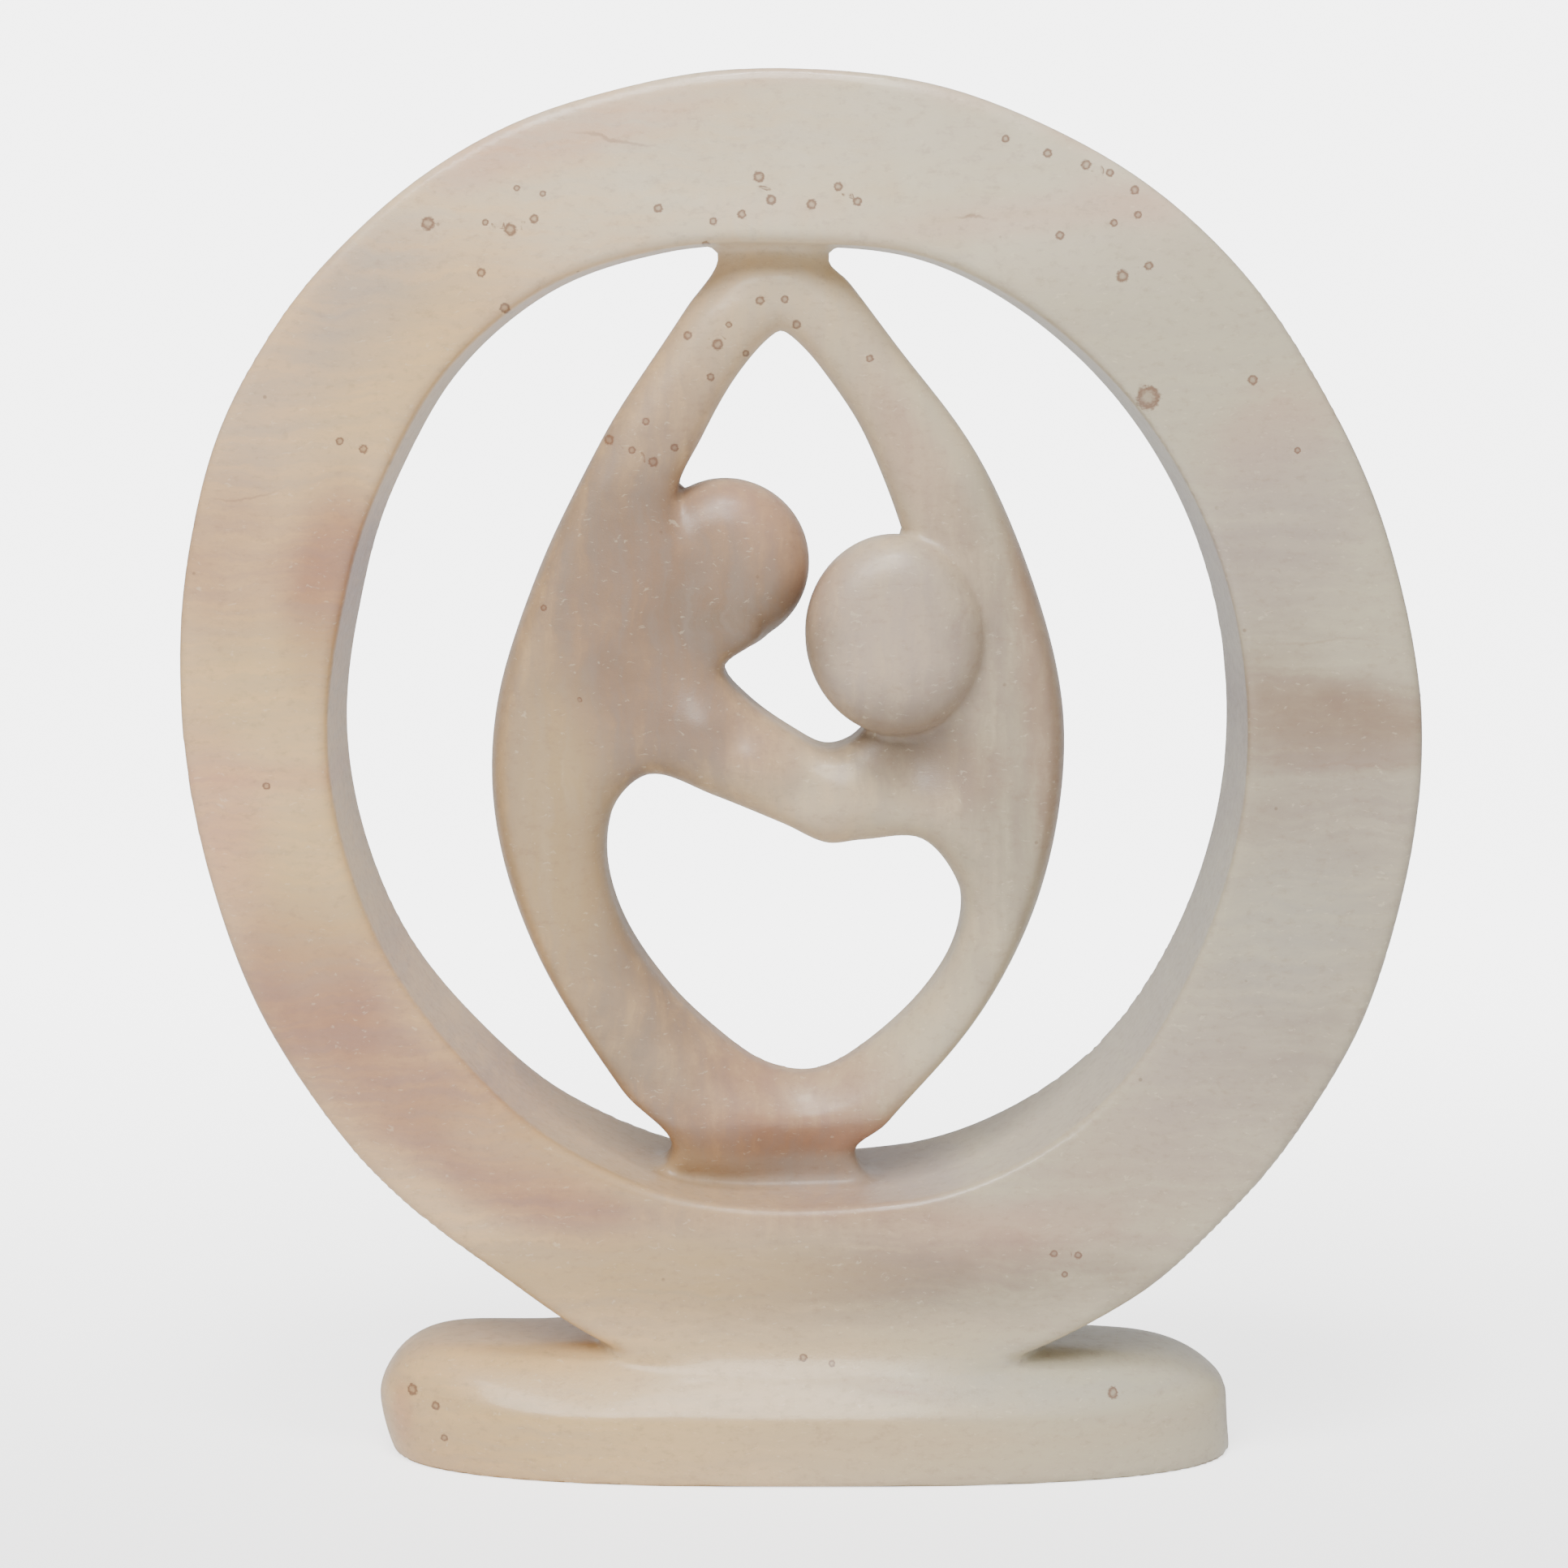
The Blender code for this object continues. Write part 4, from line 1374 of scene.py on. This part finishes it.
@dataclass(frozen=True)
class PolishedStone:
    """How the stone is finished, with the constants that its shader takes."""

    roughness: float = 0.33
    duller_figures: float = 0.06
    coat: float = 0.30
    coat_roughness: float = 0.12
    grain_height: float = 0.00004
    unwaxed_figures: float = 0.8
    rough_reach: Pair = (0.25, 0.75)
    smoother: float = 0.05
    rougher: float = 0.07
    side_swing: float = 60.0
    side_reach: Pair = (-70.0, 60.0)
    bed_reach: Pair = (0.32, 0.70)
    bed_amount: float = 0.26
    mottle_reach: Pair = (0.48, 0.78)
    mottle_amount: float = 0.30
    fleck_amount: float = 0.20
    pin_amount: float = 0.5
    pin_colour: Colour = (0.16, 0.09, 0.05)
    cloud_share: float = 0.4
    speck_pit: float = 0.8
    texture: StoneTexture = StoneTexture()
    specks: SpeckLook = SpeckLook()
    veins: tuple[Vein, ...] = (
        Vein(-33.0, 241.0, 11.0, 0.45, -8.0, 0.45),
        Vein(30.0, 227.5, 4.0, 0.4, 4.0, 0.5),
        Vein(-99.0, 179.0, 9.0, 0.35, 6.0, 0.4),
        Vein(-42.0, 161.2, 3.2, 0.35, -5.0, 0.6),
        Vein(98.0, 130.5, 12.0, 0.5, -3.0, 0.35),
        Vein(93.0, 153.0, 14.0, 0.4, 2.0, 0.25),
        Vein(24.0, 37.0, 20.0, 0.45, -5.0, 0.3, (0.36, 0.27, 0.16)),
        Vein(-20.0, 33.5, 24.0, 0.6, -3.0, 0.35, (0.40, 0.31, 0.17)),
        Vein(18.0, 17.0, 6.0, 0.5, -6.0, 0.5, (0.45, 0.27, 0.17)),
    )


def soapstone(finish: PolishedStone, marks: StoneMarks) -> bpy.types.Material:
    """The polished stone: cream to grey-green from left to right, stained, bedded and specked, with shade and
    light painted into some of the stains.

    Args:
        finish: the shader's constants and the veins.
        marks: the stains and specks whose attributes the mesh carries.

    Returns:
        The material.
    """
    material = bpy.data.materials.new("Polished soapstone")
    material.use_nodes = True
    wiring = Wiring(material.node_tree)
    shader = material.node_tree.nodes["Principled BSDF"]
    coordinates = wiring.node("ShaderNodeTexCoord")
    place = wiring.vector("SCALE", coordinates.outputs["Object"])
    place.node.inputs["Scale"].default_value = 1 / MILLIMETRE
    uneven = wiring.placed(stone_texture_group(finish.texture), {"Place": place}).outputs
    swing = wiring.math("SUBTRACT", uneven["Clouds"], 0.5)
    blend = wiring.math("MULTIPLY_ADD", swing, finish.side_swing, part_of(wiring, place, 0))
    side = wiring.step(blend, *finish.side_reach)
    colour = wiring.mixed(side, (*Tint.CREAM.value, 1), (*Tint.GREY_GREEN.value, 1))
    figures = wiring.attribute("upright grain").outputs["Fac"]
    turned = wiring.math("SUBTRACT", uneven["Upright"], uneven["Bedding"])
    layers = wiring.math("MULTIPLY_ADD", turned, figures, uneven["Bedding"])
    share = wiring.math("MULTIPLY", uneven["Clouds"], finish.cloud_share)
    breaking = wiring.math("MULTIPLY_ADD", layers, 1 - finish.cloud_share, share)
    stain = stain_group()
    for tint in marks.tints():
        amount = wiring.attribute(stain_name(tint)).outputs["Fac"]
        values = {"Share": amount, "Unevenness": breaking, "Tint": (*tint.value, 1)}
        layer = wiring.placed(stain, {"Colour": colour, **values})
        layer.label = stain_name(tint)
        colour = layer.outputs["Colour"]
    vein_tree = vein_group()
    for vein in finish.veins:
        values = {
            "Colour": colour,
            "Place": place,
            "Unevenness": uneven["Clouds"],
            "Centre": (vein.across, 0.0, vein.up),
            "Half size": (vein.half_length, 60.0, vein.half_thickness),
            "Lean": math.radians(vein.lean),
            "Tint": (*vein.tint, 1),
            "Amount": vein.amount,
        }
        colour = wiring.placed(vein_tree, values).outputs["Colour"]
    beds = wiring.step(layers, *finish.bed_reach, 0.0, finish.bed_amount)
    colour = wiring.mixed(beds, colour, (*Tint.LAVENDER.value, 1))
    dark = wiring.step(uneven["Mottling"], *finish.mottle_reach, 0.0, finish.mottle_amount)
    colour = wiring.mixed(dark, colour, (*Tint.TAN.value, 1))
    light = wiring.math("MULTIPLY", uneven["Flecks"], finish.fleck_amount)
    colour = wiring.mixed(light, colour, (*Tint.PALE.value, 1))
    pins = wiring.math("MULTIPLY", uneven["Pins"], finish.pin_amount)
    colour = wiring.mixed(pins, colour, (*finish.pin_colour, 1))
    specks = wiring.placed(
        speck_group(finish.specks),
        {
            "Colour": colour,
            "Offset": wiring.attribute("speck offset").outputs["Vector"],
            "Distance": wiring.attribute("speck distance").outputs["Fac"],
            "Unevenness": uneven["Grain"],
        },
    )
    wiring.feed(shader.inputs["Base Color"], specks.outputs["Colour"])
    smoothest, roughest = finish.roughness - finish.smoother, finish.roughness + finish.rougher
    rough = wiring.step(uneven["Mottling"], *finish.rough_reach, smoothest, roughest)
    rough = wiring.math("MULTIPLY_ADD", figures, finish.duller_figures, rough)
    wiring.feed(shader.inputs["Roughness"], rough)
    wax = wiring.math("MULTIPLY_ADD", figures, -finish.unwaxed_figures * finish.coat, finish.coat)
    wiring.feed(shader.inputs["Coat Weight"], wax)
    shader.inputs["Coat Roughness"].default_value = finish.coat_roughness
    bump = wiring.node("ShaderNodeBump")
    bump.inputs["Distance"].default_value = finish.grain_height
    bump.inputs["Strength"].default_value = 1.0
    pits = wiring.math("MULTIPLY", specks.outputs["Share"], finish.speck_pit)
    height = wiring.math("SUBTRACT", uneven["Grain"], pits)
    wiring.feed(bump.inputs["Height"], height)
    wiring.feed(shader.inputs["Normal"], bump.outputs["Normal"])
    return material


def part_of(wiring: Wiring, vector: bpy.types.NodeSocket, axis: int) -> bpy.types.NodeSocket:
    """One part of a vector."""
    split = wiring.node("ShaderNodeSeparateXYZ")
    wiring.feed(split.inputs[0], vector)
    return split.outputs[axis]


def main() -> None:
    """Builds the carving, the floor, the lights and the camera, and logs the carving's points and triangles.
    """
    logging.basicConfig(level=logging.INFO, format="%(message)s")
    studio = Studio()
    studio.camera()
    studio.lights()
    studio.floor()
    carving = Carving()
    points, quads = carving.surface()
    stone = mesh_object("Embracing_couple_carving", points, quads)
    marks = StoneMarks(carving.couple.outlines()["figures"])
    marks.paint(stone.data, points / MILLIMETRE)
    stone.data.materials.append(soapstone(PolishedStone(), marks))
    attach(stone, "root")
    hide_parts("embracing_couple")
    LOG.info("carving: %d points, %d triangles", len(points), 2 * len(quads))
    bpy.context.view_layer.update()


if __name__ == "__main__":
    main()
